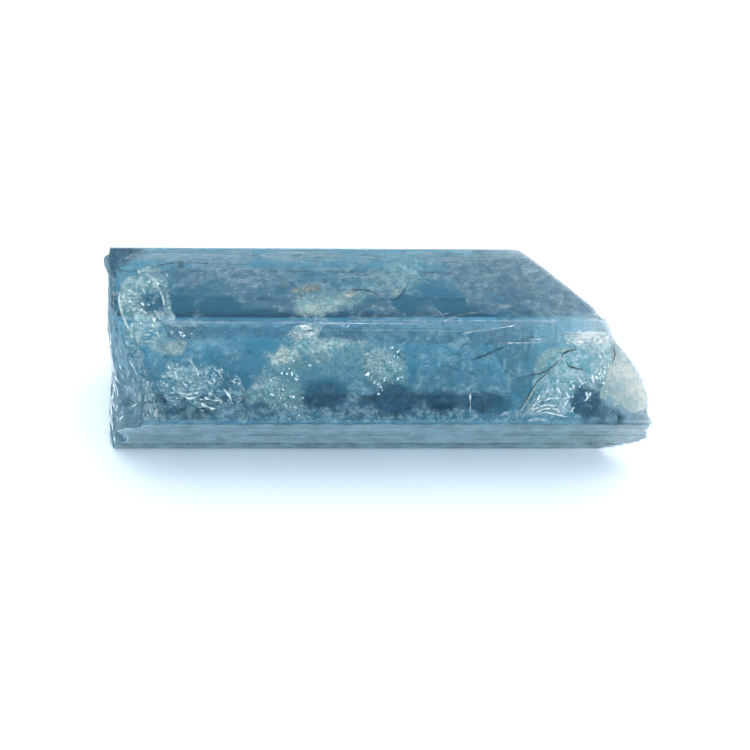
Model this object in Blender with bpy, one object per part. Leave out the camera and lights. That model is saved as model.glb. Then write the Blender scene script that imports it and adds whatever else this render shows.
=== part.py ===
"""A natural aquamarine crystal: a single hexagonal prism of beryl, lying on one prism face.

X runs along the prism, from its broken left end to its oblique right end. The front is -Y and
+Z is up. The origin lies on the resting surface, under the middle of the crystal.
"""

import math

import bmesh
import bpy
from mathutils import Matrix, Vector, noise

MM = 0.001

# Driving dimensions
FACE_WIDTH = 7.70 * MM  # one side of the hexagonal cross-section
LENGTH = 40.0 * MM  # tip to tip
TOP_FALL = 0.30 * MM  # how much the top sinks from the left end to the right end
EDGE_WEAR = 0.12 * MM  # what handling has taken off each long edge
EDGE_FACET_LEFT = 0.05 * MM  # depth of the narrow facet along the top front edge,
EDGE_FACET_RIGHT = 0.32 * MM  # which widens towards the right end

AXIS_HEIGHT = FACE_WIDTH * math.sqrt(3) / 2  # from the resting face to the prism axis
CORNER_NAMES = ("back", "top_back", "top_front", "front", "bottom_front", "bottom_back")

# Growth ledges, as on most beryl, run the whole length of a prism face. Each face starts at the
# corner that it is named for. A ledge is (start, end) as shares of the face's width, and depth.
LEDGES = {
    "back": ((0.28, 0.52, 0.07 * MM), (0.70, 0.78, 0.10 * MM)),
    "top_back": ((0.22, 0.37, 0.05 * MM), (0.37, 0.47, 0.09 * MM)),
    "top_front": ((0.19, 0.23, 0.06 * MM), (0.88, 0.94, 0.07 * MM)),
    "front": ((0.22, 0.46, 0.05 * MM), (0.70, 0.80, 0.08 * MM)),
    "bottom_front": (),
    "bottom_back": ((0.16, 0.30, 0.06 * MM), (0.55, 0.80, 0.09 * MM)),
}
LEDGE_RISER = 0.10 * MM  # width of the slope at each side of a ledge

# Broken left end: it leans back towards the front and steps back further at the front corner.
LEFT_END = -LENGTH / 2 + 0.52 * MM
FRONT_LEAN = 0.75 * MM
STEP_DEPTH = 1.95 * MM
STEP_STARTS = 3.30 * MM  # how far in front of the axis the step begins
STEP_WIDTH = 3.00 * MM
STEP_TURN = 2.0  # how fast the step swings forward below the front corner
STREAK_DEPTH = 0.26 * MM
STREAK_WIDTH = 1.1 * MM
STREAK_HEIGHT = 5.0 * MM

# Oblique right end: a pyramid face whose front part is broken in shell-shaped ripples.
RIGHT_END_ON_AXIS = 13.50 * MM
RIGHT_END_SLOPE = 0.885  # how far it runs back along X for each step towards the back
BREAK_AT = Vector((-6.4, 4.2)) * MM
BREAK_REACH = 4.6 * MM
RIPPLE_DEPTH = 0.10 * MM
RIPPLE_PITCH = 1.25 * MM
PIT_DEPTH = 0.16 * MM
PIT_SIZE = 1.3 * MM
PYRAMID_RELIEF = 0.05 * MM
PYRAMID_RELIEF_SIZE = 2.0 * MM

# Rounded hills (and hollows, below zero) of the two ends: centre (y, z), reach, height along X
LEFT_HILLS = (
    (Vector((5.4, 10.5)) * MM, 1.25 * MM, 0.62 * MM),  # the beak
    (Vector((1.6, 8.6)) * MM, 1.60 * MM, 0.22 * MM),
    (Vector((-1.0, 13.3)) * MM, 2.50 * MM, -0.38 * MM),  # hollow beside the top edge
    (Vector((-2.6, 1.8)) * MM, 2.40 * MM, 0.42 * MM),
    (Vector((-5.5, 2.6)) * MM, 1.80 * MM, -1.00 * MM),
)
RIGHT_HILLS = (
    (Vector((2.0, 13.2)) * MM, 2.20 * MM, 0.22 * MM),
    (Vector((-4.3, 12.4)) * MM, 1.50 * MM, -0.55 * MM),  # hollow at the top front edge
    (Vector((-6.0, 9.6)) * MM, 1.90 * MM, 0.25 * MM),  # the shoulder
    (Vector((-7.4, 7.0)) * MM, 1.60 * MM, -0.22 * MM),
    (Vector((-7.5, 7.1)) * MM, 0.90 * MM, -0.45 * MM),  # a notch at the front corner
    (Vector((-5.3, 2.2)) * MM, 2.40 * MM, 1.50 * MM),  # the toe
    (Vector((-3.85, 0.0)) * MM, 1.10 * MM, -0.70 * MM),  # worn away under the toe
)

# Chips where an edge or a corner was knocked off: centre, and half-lengths of the scoop
CHIPS = {
    "chip_top_left": (Vector((-20.0, 3.9, 14.0)), Vector((1.1, 1.5, 0.9))),
    "chip_top_edge": (Vector((-0.95, 4.05, 13.45)), Vector((0.9, 0.35, 0.30))),
    "chip_top_right": (Vector((16.2, -2.9, 13.6)), Vector((0.9, 0.75, 0.9))),
    "chip_back_right": (Vector((10.9, 4.2, 13.8)), Vector((0.9, 0.8, 0.8))),
    "chip_front_right": (Vector((18.6, -8.05, 7.3)), Vector((3.4, 0.55, 0.85))),
    "chip_bottom_left": (Vector((-20.0, -4.1, -0.5)), Vector((1.0, 1.1, 0.9))),
    "chip_bottom_edge": (Vector((5.6, -3.9, -0.25)), Vector((1.5, 0.5, 0.4))),
}

BREAK_GRID = 0.35 * MM  # spacing of the points of a broken surface
BLOCK_MARGIN = 1.5 * MM  # how far a cutting block reaches past the prism
BLOCK_DEPTH = 22.0 * MM


def clear_scene():
    """Remove whatever the scene holds."""
    for obj in list(bpy.data.objects):
        bpy.data.objects.remove(obj, do_unlink=True)


def corners():
    """The six corners of the cross-section, as (y, z), from the back one over the top."""
    points = []
    for turn in range(6):
        angle = math.radians(60 * turn)
        y = FACE_WIDTH * math.cos(angle)
        z = AXIS_HEIGHT + FACE_WIDTH * math.sin(angle)
        points.append(Vector((y, z)))
    return points


def face_points(start, end, ledges):
    """Points across one face, from one worn edge to the next, with its growth ledges cut in."""
    along = (end - start).normalized()
    inward = Vector((-along.y, along.x))
    points = [start + along * EDGE_WEAR]
    for first, last, depth in ledges:
        top_of_slope = start + along * (first * FACE_WIDTH)
        end_of_ledge = start + along * (last * FACE_WIDTH)
        points += [
            top_of_slope,
            top_of_slope + along * LEDGE_RISER + inward * depth,
            end_of_ledge - along * LEDGE_RISER + inward * depth,
            end_of_ledge,
        ]
    points.append(end - along * EDGE_WEAR)
    # Two ledges that meet share the point between them.
    return [p for i, p in enumerate(points) if i == 0 or (p - points[i - 1]).length > 1e-6]


def cross_section():
    """The outline of the prism: six faces with ledges and worn edges."""
    ring = corners()
    outline = []
    for index, name in enumerate(CORNER_NAMES):
        outline += face_points(ring[index], ring[(index + 1) % 6], LEDGES[name])
    return outline


def sink_top(bm):
    """Lower the upper half of the prism gradually towards the right end."""
    for vert in bm.verts:
        share_along = (vert.co.x + LENGTH / 2) / LENGTH
        share_up = max(0.0, vert.co.z / AXIS_HEIGHT - 1)
        vert.co.z -= TOP_FALL * share_along * share_up


def cut_edge_facet(bm):
    """Plane off the top front edge, more deeply towards the right end."""
    edge = corners()[2]
    outward = Vector((0, -0.5, math.sqrt(3) / 2))
    across = Vector((0, math.sqrt(3) / 2, 0.5))
    left = Vector((-LENGTH / 2, edge.x, edge.y)) - outward * EDGE_FACET_LEFT
    right = Vector((LENGTH / 2, edge.x, edge.y - TOP_FALL)) - outward * EDGE_FACET_RIGHT
    cut = bmesh.ops.bisect_plane(
        bm,
        geom=bm.verts[:] + bm.edges[:] + bm.faces[:],
        plane_co=left,
        plane_no=(right - left).cross(across).normalized(),
        clear_outer=True,
    )
    rim = [item for item in cut["geom_cut"] if isinstance(item, bmesh.types.BMEdge)]
    bmesh.ops.holes_fill(bm, edges=rim, sides=0)


def make_prism():
    """The whole prism, longer than the crystal at both ends."""
    bm = bmesh.new()
    left = -LENGTH / 2 - BLOCK_MARGIN
    verts = [bm.verts.new((left, p.x, p.y)) for p in cross_section()]
    cap = bm.faces.new(verts)
    extruded = bmesh.ops.extrude_face_region(bm, geom=[cap])
    far = [item for item in extruded["geom"] if isinstance(item, bmesh.types.BMVert)]
    bmesh.ops.translate(bm, verts=far, vec=(LENGTH + 2 * BLOCK_MARGIN, 0, 0))
    sink_top(bm)
    cut_edge_facet(bm)
    bmesh.ops.recalc_face_normals(bm, faces=bm.faces[:])
    return add_object("crystal", bm)


def add_object(name, bm):
    """Turn a bmesh into an object of that name."""
    mesh = bpy.data.meshes.new(name)
    bm.to_mesh(mesh)
    bm.free()
    obj = bpy.data.objects.new(name, mesh)
    bpy.context.scene.collection.objects.link(obj)
    return obj


def hills_height(y, z, hills):
    """The summed height of some rounded hills at a point of the cross-section."""
    total = 0.0
    for centre, reach, height in hills:
        distance = (Vector((y, z)) - centre).length / reach
        total += height * math.exp(-distance * distance)
    return total


def relief(y, z, size_y, size_z, seed):
    """Smooth irregular relief from -1 to 1, with hills of the given size."""
    return noise.noise(Vector((y / size_y, z / size_z, seed)))


def smooth_step(value):
    """0 up to 0, 1 from 1 on, and a smooth rise between them."""
    share = min(1.0, max(0.0, value))
    return share * share * (3 - 2 * share)


def left_end_x(y, z):
    """The broken left end: x at a point of the cross-section."""
    forward = max(0.0, -y)
    below = max(0.0, AXIS_HEIGHT - z)
    share_up = min(1.0, z / AXIS_HEIGHT)
    lean = FRONT_LEAN * min(1.0, 2 * forward / FACE_WIDTH) ** 2 * share_up
    step = STEP_DEPTH * smooth_step((forward - STEP_STARTS - STEP_TURN * below) / STEP_WIDTH)
    streaks = abs(relief(y, z, STREAK_WIDTH, STREAK_HEIGHT, 3.7))
    grain = relief(y, z, STREAK_WIDTH / 2, STREAK_HEIGHT / 4, 9.1)
    rough = STREAK_DEPTH * (streaks + 0.35 * grain)
    return LEFT_END + lean + step + rough - hills_height(y, z, LEFT_HILLS)


def right_end_x(y, z):
    """The oblique right end: x at a point of the cross-section."""
    pyramid = RIGHT_END_ON_AXIS - RIGHT_END_SLOPE * y
    pyramid += PYRAMID_RELIEF * relief(y, z, PYRAMID_RELIEF_SIZE, PYRAMID_RELIEF_SIZE, 5.3)
    from_blow = (Vector((y, z)) - BREAK_AT).length
    broken = math.exp(-((from_blow / BREAK_REACH) ** 2))
    ripples = math.sin(2 * math.pi * from_blow / RIPPLE_PITCH)
    pits = relief(y, z, PIT_SIZE, PIT_SIZE * 2, 1.9)
    rough = broken * (RIPPLE_DEPTH * ripples + PIT_DEPTH * pits)
    return pyramid + rough + hills_height(y, z, RIGHT_HILLS)


def make_break_block(name, surface_x, outward):
    """A cutting block with one broken side, x = surface_x(y, z), on the prism's side of it."""
    half_width = FACE_WIDTH + BLOCK_MARGIN
    segments = round(2 * half_width / BREAK_GRID)
    bm = bmesh.new()
    bmesh.ops.create_grid(bm, x_segments=segments, y_segments=segments, size=half_width)
    for vert in bm.verts:
        y, z = vert.co.x, vert.co.y + AXIS_HEIGHT
        vert.co = (surface_x(y, z), y, z)
    extruded = bmesh.ops.extrude_face_region(bm, geom=bm.faces[:])
    for item in extruded["geom"]:
        if isinstance(item, bmesh.types.BMVert):
            item.co.x = outward * (LENGTH / 2 + BLOCK_DEPTH)
    bmesh.ops.recalc_face_normals(bm, faces=bm.faces[:])
    return make_cutter(add_object(name, bm))


def make_chip(name, centre, half_lengths):
    """A scoop-shaped cutter for one chip, from millimetres."""
    bm = bmesh.new()
    stretch = Matrix.Diagonal((*half_lengths * MM, 1))
    bmesh.ops.create_icosphere(bm, subdivisions=3, radius=1, matrix=stretch)
    bmesh.ops.translate(bm, verts=bm.verts[:], vec=centre * MM)
    return make_cutter(add_object(name, bm))


def make_cutter(obj):
    """Keep a cutter out of the render."""
    obj.hide_render = True
    obj.display_type = "WIRE"
    return obj


def cut_away(target, cutter):
    """Take the cutter's shape out of the target."""
    modifier = target.modifiers.new(f"cut_{cutter.name}", "BOOLEAN")
    modifier.operation = "DIFFERENCE"
    modifier.solver = "EXACT"
    modifier.object = cutter


def aquamarine():
    """The crystal's own material: clear, pale blue and glassy."""
    material = bpy.data.materials.new("aquamarine")
    material.use_nodes = True
    shader = material.node_tree.nodes["Principled BSDF"]
    shader.inputs["Base Color"].default_value = (0.33, 0.58, 0.70, 1)
    shader.inputs["Roughness"].default_value = 0.08
    shader.inputs["Metallic"].default_value = 0.0
    shader.inputs["IOR"].default_value = 1.577
    shader.inputs["Transmission Weight"].default_value = 1.0
    return material


def main():
    """Build the crystal."""
    clear_scene()
    crystal = make_prism()
    crystal.data.materials.append(aquamarine())
    cut_away(crystal, make_break_block("left_break", left_end_x, outward=-1))
    cut_away(crystal, make_break_block("right_break", right_end_x, outward=1))
    for name, (centre, half_lengths) in CHIPS.items():
        cut_away(crystal, make_chip(name, centre, half_lengths))


main()
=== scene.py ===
"""A natural aquamarine crystal: the clear blue prism and everything that can be seen inside it."""

import logging
import math
from collections.abc import Callable
from dataclasses import dataclass, field
from enum import Enum

import bmesh
import bpy
import numpy as np
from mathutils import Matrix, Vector, noise


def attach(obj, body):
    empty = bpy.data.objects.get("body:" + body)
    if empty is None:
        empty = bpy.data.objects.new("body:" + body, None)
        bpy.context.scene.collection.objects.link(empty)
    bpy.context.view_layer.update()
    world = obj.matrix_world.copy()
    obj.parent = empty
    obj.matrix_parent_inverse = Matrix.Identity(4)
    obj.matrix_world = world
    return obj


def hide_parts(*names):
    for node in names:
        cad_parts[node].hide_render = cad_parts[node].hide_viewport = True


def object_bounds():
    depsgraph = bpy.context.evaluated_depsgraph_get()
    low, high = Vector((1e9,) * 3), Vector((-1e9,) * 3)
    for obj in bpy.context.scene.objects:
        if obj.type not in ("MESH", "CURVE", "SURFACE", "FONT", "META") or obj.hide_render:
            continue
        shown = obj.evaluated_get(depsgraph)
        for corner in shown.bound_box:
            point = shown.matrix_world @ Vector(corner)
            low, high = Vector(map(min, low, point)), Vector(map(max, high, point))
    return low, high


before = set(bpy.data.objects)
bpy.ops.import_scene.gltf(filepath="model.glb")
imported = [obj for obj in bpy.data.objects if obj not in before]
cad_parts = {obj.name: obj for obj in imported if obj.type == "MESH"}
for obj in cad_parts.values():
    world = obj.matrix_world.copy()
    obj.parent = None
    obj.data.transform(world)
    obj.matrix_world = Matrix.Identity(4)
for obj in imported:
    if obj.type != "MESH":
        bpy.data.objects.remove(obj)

CAD_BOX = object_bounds()
BODY = "root"
MM = 0.001
LOG = logging.getLogger("crystal")

Array = np.ndarray
Colour = tuple[float, float, float]
Spot = tuple[float, float, float]
Outline = tuple[tuple[float, float], ...]


class Side(Enum):
    """The six prism faces, each by the corner it starts from, going over the top."""

    BACK_UPPER = 0
    TOP = 1
    FRONT_UPPER = 2
    FRONT_LOWER = 3
    BOTTOM = 4
    BACK_LOWER = 5

    def outward(self) -> Array:
        """The direction out of the face."""
        turn = math.radians(60 * self.value + 30)
        return np.array((0, math.cos(turn), math.sin(turn)))


def relief(points: Array, size: float | Spot, seed: float) -> Array:
    """Smooth irregular relief.

    Args:
        points: Rows of x, y, z in millimetres.
        size: How far apart the hills are in millimetres, or how far along x, y and z.
        seed: Any number; each gives a relief of its own.

    Returns:
        One value from about -1 to 1 for each point.
    """
    scaled = points / np.array(size) + seed * np.array((1.0, 1.7, 2.3))
    return np.array([noise.noise(Vector(row)) for row in scaled])


def smooth_step(values: Array) -> Array:
    """0 up to 0, 1 from 1 on, and a smooth rise between them."""
    share = np.clip(values, 0.0, 1.0)
    return share * share * (3 - 2 * share)


@dataclass(frozen=True)
class Grain:
    """The grain of a broken end: hills of one size over the cross-section, or sharp-edged ridges."""

    wide: float
    high: float
    height: float
    seed: float
    ridged: bool = False

    def over(self, y: Array, z: Array) -> Array:
        """The grain's height at each point of the cross-section."""
        rows = np.stack([y / self.wide, z / self.high, np.full(np.shape(y), self.seed)], 1)
        hills = np.array([noise.noise(Vector(row)) for row in rows])
        return self.height * (np.abs(hills) if self.ridged else hills)


@dataclass(frozen=True)
class Hill:
    """A rounded hill on an end of the crystal, or a hollow if its height is below zero."""

    y: float
    z: float
    reach: float
    height: float

    def over(self, y: Array, z: Array) -> Array:
        """The hill's height at each point of the cross-section."""
        return self.height * np.exp(-((y - self.y) ** 2 + (z - self.z) ** 2) / self.reach**2)


@dataclass(frozen=True)
class Scoop:
    """A chip: the shell-shaped hollow left where an edge was knocked."""

    centre: Spot
    half: Spot
    endwise: float = 0.0

    def press(self, points: Array, axis_height: float) -> Array:
        """Push every point inside the scoop on to its hollow side.

        Args:
            points: Rows of x, y, z in millimetres.
            axis_height: Height of the prism's axis, which the push goes towards.

        Returns:
            The points, moved where they were inside the scoop.
        """
        centre, half = np.array(self.centre), np.array(self.half)
        inward = np.array((self.endwise, -centre[1], axis_height - centre[2]))
        inward /= np.linalg.norm(inward)
        offset = (points - centre) / half
        step = inward / half
        a, b = step @ step, offset @ step
        c = (offset**2).sum(1) - 1
        inside = c < 0
        travel = (-b + np.sqrt(np.maximum(b * b - a * c, 0))) / a
        return points + np.where(inside, travel, 0)[:, None] * inward


@dataclass(frozen=True)
class PrismForm:
    """The outside of the crystal, as formulas in millimetres."""

    face_width: float = 7.70
    length: float = 40.0
    top_fall: float = 0.30
    edge_wear: float = 0.12
    facet_left: float = 0.05
    facet_right: float = 0.32
    facet_sunk: float = 0.261
    left_end: float = -19.48
    front_lean: float = 0.75
    step_depth: float = 1.95
    step_starts: float = 3.30
    step_width: float = 3.00
    step_turn: float = 2.0
    right_end: float = 13.50
    right_slope: float = 0.885
    break_at: tuple[float, float] = (-6.4, 4.2)
    break_reach: float = 4.6
    ripple_pitch: float = 1.25
    ripple_depth: float = 0.10
    riser: float = 0.24
    ledges: dict[Side, tuple[Spot, ...]] = field(
        default_factory=lambda: {
            Side.BACK_UPPER: ((0.28, 0.52, 0.05), (0.70, 0.78, 0.06)),
            Side.TOP: ((0.22, 0.37, 0.012), (0.37, 0.47, 0.02)),
            Side.FRONT_UPPER: ((0.16, 0.24, 0.02), (0.86, 0.94, 0.02)),
            Side.FRONT_LOWER: ((0.22, 0.46, 0.03), (0.70, 0.80, 0.04)),
            Side.BOTTOM: (),
            Side.BACK_LOWER: ((0.16, 0.30, 0.03), (0.55, 0.80, 0.04)),
        }
    )
    left_grains: tuple[Grain, ...] = (
        Grain(1.1, 5.0, 0.26, 3.7, ridged=True),
        Grain(0.55, 1.25, 0.091, 9.1),
        Grain(0.34, 2.4, 0.06, 4.1, ridged=True),
    )
    left_hills: tuple[Hill, ...] = (
        Hill(5.4, 10.5, 1.25, 0.62),
        Hill(1.6, 8.6, 1.60, 0.22),
        Hill(-1.0, 13.3, 2.50, -0.38),
        Hill(-2.6, 1.8, 2.40, 0.42),
        Hill(-5.5, 2.6, 1.80, -1.00),
    )
    pyramid_grain: Grain = Grain(2, 2, 0.05, 5.3)
    break_grains: tuple[Grain, ...] = (Grain(1.3, 2.6, 0.16, 1.9), Grain(0.4, 0.55, 0.10, 3.1, ridged=True))
    right_hills: tuple[Hill, ...] = (
        Hill(2.0, 13.2, 2.20, 0.22),
        Hill(-4.3, 12.4, 1.50, -0.55),
        Hill(-6.0, 9.6, 1.90, 0.25),
        Hill(-7.4, 7.0, 1.60, -0.22),
        Hill(-7.5, 7.1, 0.90, -0.45),
        Hill(-5.3, 2.2, 2.40, 1.50),
        Hill(-3.85, 0.0, 1.10, -0.70),
    )
    scoops: tuple[Scoop, ...] = (
        Scoop((-20.0, 3.9, 14.0), (1.1, 1.5, 0.9), endwise=0.6),
        Scoop((-0.95, 4.05, 13.45), (0.9, 0.35, 0.30)),
        Scoop((16.2, -2.9, 13.6), (0.9, 0.75, 0.9)),
        Scoop((10.9, 4.2, 13.8), (0.9, 0.8, 0.8)),
        Scoop((18.6, -8.05, 7.3), (3.4, 0.55, 0.85), endwise=-0.6),
        Scoop((-20.0, -4.1, -0.5), (1.0, 1.1, 0.9), endwise=0.6),
        Scoop((5.6, -3.9, -0.25), (1.5, 0.5, 0.4)),
    )

    @property
    def axis_height(self) -> float:
        """Height of the prism's axis over the face it rests on."""
        return self.face_width * math.sqrt(3) / 2

    def corner(self, index: int) -> Array:
        """One corner of the cross-section, as (y, z)."""
        turn = math.radians(60 * index)
        return np.array((math.cos(turn), math.sin(turn))) * self.face_width + (0, self.axis_height)

    def on_face(self, side: Side, share: Array, depth: Array) -> tuple[Array, Array]:
        """Points of the cross-section at a share of a face's width and a depth below it."""
        start, end = self.corner(side.value), self.corner(side.value + 1)
        along = (end - start) / self.face_width
        inward = np.array((-along[1], along[0]))
        spots = start + share[:, None] * (end - start) + depth[:, None] * inward
        return spots[:, 0], spots[:, 1]

    def ledge_depth(self, side: Side, share: Array) -> Array:
        """Depth of the growth ledges at each share of a face's width."""
        depth = np.zeros_like(share)
        slope = self.riser / self.face_width
        for first, last, deep in self.ledges[side]:
            rise = np.clip((share - first) / slope, 0, 1)
            fall = np.clip((last - share) / slope, 0, 1)
            depth = np.maximum(depth, deep * smooth_step(np.minimum(rise, fall)))
        return depth

    def left_x(self, y: Array, z: Array) -> Array:
        """The broken left end: x at each point of the cross-section."""
        forward = np.maximum(0, -y)
        below = np.maximum(0, self.axis_height - z)
        share_up = np.minimum(1, z / self.axis_height)
        lean = self.front_lean * np.minimum(1, 2 * forward / self.face_width) ** 2 * share_up
        step = self.step_depth * smooth_step(
            (forward - self.step_starts - self.step_turn * below) / self.step_width
        )
        rough = sum(grain.over(y, z) for grain in self.left_grains)
        hills = sum(hill.over(y, z) for hill in self.left_hills)
        return self.left_end + lean + step + rough - hills

    def right_x(self, y: Array, z: Array) -> Array:
        """The oblique right end: x at each point of the cross-section."""
        pyramid = self.right_end - self.right_slope * y + self.pyramid_grain.over(y, z)
        from_blow = np.hypot(y - self.break_at[0], z - self.break_at[1])
        broken = np.exp(-((from_blow / self.break_reach) ** 2))
        ripples = self.ripple_depth * np.sin(2 * math.pi * from_blow / self.ripple_pitch)
        rough = broken * (ripples + sum(grain.over(y, z) for grain in self.break_grains))
        hills = sum(hill.over(y, z) for hill in self.right_hills)
        return pyramid + rough + hills

    def holds(self, points: Array, margin: float) -> Array:
        """Whether each point is inside the crystal, at least a margin below its surface."""
        x, y, z = points.T
        inside = (x > self.left_x(y, z) + margin) & (x < self.right_x(y, z) - margin)
        along = (x + self.length / 2) / self.length
        for side in Side:
            _, out_y, out_z = side.outward()
            reach = y * out_y + (z - self.axis_height) * out_z
            most = self.axis_height - margin
            if side is Side.TOP:
                most = most - self.top_fall * along
            inside &= reach < most
        edge, facet = self.corner(2), self.facet_outward()
        reach = (y - edge[0]) * facet[1] + (z - edge[1]) * facet[2]
        return inside & (reach < -self.facet_left - along * self.facet_right - margin)

    def facet_outward(self) -> Array:
        """The direction out of the narrow facet along the top front edge."""
        return np.array((0, -0.5, math.sqrt(3) / 2))

    def shape_sides(self, points: Array) -> Array:
        """Let the top sink to the right and plane off the top front edge."""
        shaped = points.copy()
        along = (shaped[:, 0] + self.length / 2) / self.length
        share_up = np.maximum(0, shaped[:, 2] / self.axis_height - 1)
        shaped[:, 2] -= self.top_fall * along * share_up
        reach = (shaped - (0, *self.corner(2))) @ self.facet_outward()
        most = -self.facet_left - along * (self.facet_right - self.facet_left + self.facet_sunk)
        return shaped - np.maximum(0, reach - most)[:, None] * self.facet_outward()


@dataclass
class CrystalBody:
    """The clear crystal itself, in one closed skin."""

    form: PrismForm
    across: int = 46
    along: int = 150
    rings: int = 26
    striation: float = 0.005
    coarse_lines: Spot = (14, 0.42, 0.42)
    fine_lines: Spot = (7, 0.2, 0.2)
    sharp_angle: float = 14.0

    def outline(self) -> tuple[Array, Array, Array]:
        """The cross-section: y, z and the face index of each point, all round the prism."""
        parts_y, parts_z, parts_side = [], [], []
        wear = self.form.edge_wear / self.form.face_width
        for side in Side:
            extra = [s for first, last, _ in self.form.ledges[side] for s in (first, last)]
            extra += [wear, 2 * wear, 0.95, 1 - wear, 0.05]
            share = np.unique(np.round(np.append(np.linspace(wear, 1 - wear, self.across), extra), 5))
            share = share[(share >= wear - 1e-6) & (share <= 1 - wear + 1e-6)]
            y, z = self.form.on_face(side, share, self.form.ledge_depth(side, share))
            parts_y.append(y)
            parts_z.append(z)
            parts_side.append(np.full(len(y), side.value))
        return np.concatenate(parts_y), np.concatenate(parts_z), np.concatenate(parts_side)

    def striate(self, points: Array, side: Array) -> Array:
        """Cut fine lengthwise growth lines into every face but the one it lies on."""
        turn = np.radians(60 * side + 30)
        inward = -np.stack([np.zeros_like(turn), np.cos(turn), np.sin(turn)], 1)
        lines = np.abs(relief(points, self.coarse_lines, 6.0))
        lines += 0.5 * np.abs(relief(points, self.fine_lines, 8.0))
        depth = self.striation * lines * (side != Side.BOTTOM.value)
        return points + depth[:, None] * inward

    def build(self) -> bpy.types.Object:
        """Make the mesh.

        Returns:
            The new object, named crystal_body.
        """
        form = self.form
        y, z, side = self.outline()
        left, right = form.left_x(y, z), form.right_x(y, z)
        rows = []
        for t in np.linspace(0, 1, self.along + 1):
            row = np.stack([left + t * (right - left), y, z], 1)
            rows.append(form.shape_sides(self.striate(row, side)))
        caps = self.cap(form.left_x, rows[0]) + self.cap(form.right_x, rows[-1])
        points = np.concatenate([*rows, *caps])
        for scoop in form.scoops:
            points = scoop.press(points, form.axis_height)
        low, high = np.array(CAD_BOX[0]) / MM, np.array(CAD_BOX[1]) / MM
        points = np.clip(points, low, high)
        faces = self.side_faces(len(y)) + self.cap_faces(len(y))
        return make_piece("crystal_body", points, faces, self.sharp_angle)

    def cap(self, x_at: Callable[[Array, Array], Array], rim: Array) -> list[Array]:
        """The points of one end: rings from its rim to its middle.

        Args:
            x_at: The end's surface, x at each y and z.
            rim: The rim's points.

        Returns:
            The points of each ring, then the one in the middle.
        """
        middle = np.array((0.0, self.form.axis_height))
        offset = rim[:, 0] - x_at(rim[:, 1], rim[:, 2])
        rings = []
        for ring in range(1, self.rings):
            share = 1 - ring / self.rings
            spots = middle + share * (rim[:, 1:] - middle)
            x = x_at(spots[:, 0], spots[:, 1]) + offset * share**6
            rings.append(np.column_stack([x, spots]))
        centre = x_at(middle[:1], middle[1:])
        return [*rings, np.array([[centre[0], *middle]])]

    def side_faces(self, count: int) -> list[tuple[int, ...]]:
        """The quads along the prism, for that many points in its outline."""
        faces = []
        for row in range(self.along):
            a, b = row * count, (row + 1) * count
            faces += [(a + i, b + i, b + (i + 1) % count, a + (i + 1) % count) for i in range(count)]
        return faces

    def cap_faces(self, count: int) -> list[tuple[int, ...]]:
        """The rings that close both ends, for that many points in the outline."""
        faces = []
        first = (self.along + 1) * count
        for ring_start, flip in ((0, True), (self.along * count, False)):
            for _ in range(1, self.rings):
                for i in range(count):
                    j = (i + 1) % count
                    quad = (ring_start + i, first + i, first + j, ring_start + j)
                    faces.append(quad[::-1] if flip else quad)
                ring_start = first
                first += count
            for i in range(count):
                tri = (ring_start + i, first, ring_start + (i + 1) % count)
                faces.append(tri[::-1] if flip else tri)
            first += 1
        return faces


def make_piece(
    name: str, points_mm: Array, faces: list[tuple[int, ...]], sharp_angle: float | None = None
) -> bpy.types.Object:
    """Make one piece of the crystal that rides with it.

    Args:
        name: The piece's name.
        points_mm: Rows of x, y, z in millimetres.
        faces: Vertex indices of each face.
        sharp_angle: Edges that bend more than this many degrees stay sharp; None keeps every
            face flat.

    Returns:
        The new object.
    """
    mesh = bpy.data.meshes.new(name)
    mesh.from_pydata((points_mm * MM).tolist(), [], faces)
    mesh.update()
    if sharp_angle is not None:
        bm = bmesh.new()
        bm.from_mesh(mesh)
        bmesh.ops.recalc_face_normals(bm, faces=bm.faces[:])
        for edge in bm.edges:
            edge.smooth = edge.calc_face_angle(0.0) < math.radians(sharp_angle)
        for face in bm.faces:
            face.smooth = True
        bm.to_mesh(mesh)
        bm.free()
    piece = bpy.data.objects.new(name, mesh)
    bpy.context.scene.collection.objects.link(piece)
    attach(piece, BODY)
    LOG.info("%s: %d faces", name, len(mesh.polygons))
    return piece


class Value:
    """A number that varies over a surface. Arithmetic on it adds Math nodes."""

    def __init__(self, graph: "Graph", socket: bpy.types.NodeSocket) -> None:
        """Wrap one output socket of a graph."""
        self.graph = graph
        self.socket = socket

    def _maths(self, operation: str, first: "Value | float", second: "Value | float") -> "Value":
        """Add one Math node on two numbers."""
        node = self.graph.add("ShaderNodeMath", {"operation": operation}, {0: first, 1: second})
        return Value(self.graph, node.outputs[0])

    def __add__(self, other: "Value | float") -> "Value":
        """self + other."""
        return self._maths("ADD", self, other)

    __radd__ = __add__

    def __sub__(self, other: "Value | float") -> "Value":
        """self - other."""
        return self._maths("SUBTRACT", self, other)

    def __rsub__(self, other: float) -> "Value":
        """other - self."""
        return self._maths("SUBTRACT", other, self)

    def __mul__(self, other: "Value | float") -> "Value":
        """self * other."""
        return self._maths("MULTIPLY", self, other)

    __rmul__ = __mul__

    def size(self) -> "Value":
        """The number without its sign."""
        return self._maths("ABSOLUTE", self, 0.0)

    def largest(self, other: "Value | float") -> "Value":
        """The larger of the two."""
        return self._maths("MAXIMUM", self, other)

    def step(self, low: float, high: float) -> "Value":
        """0 below low, 1 above high, and a smooth rise between them."""
        node = self.graph.add(
            "ShaderNodeMapRange",
            {"interpolation_type": "SMOOTHSTEP"},
            {"Value": self, "From Min": low, "From Max": high},
        )
        return Value(self.graph, node.outputs[0])


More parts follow.
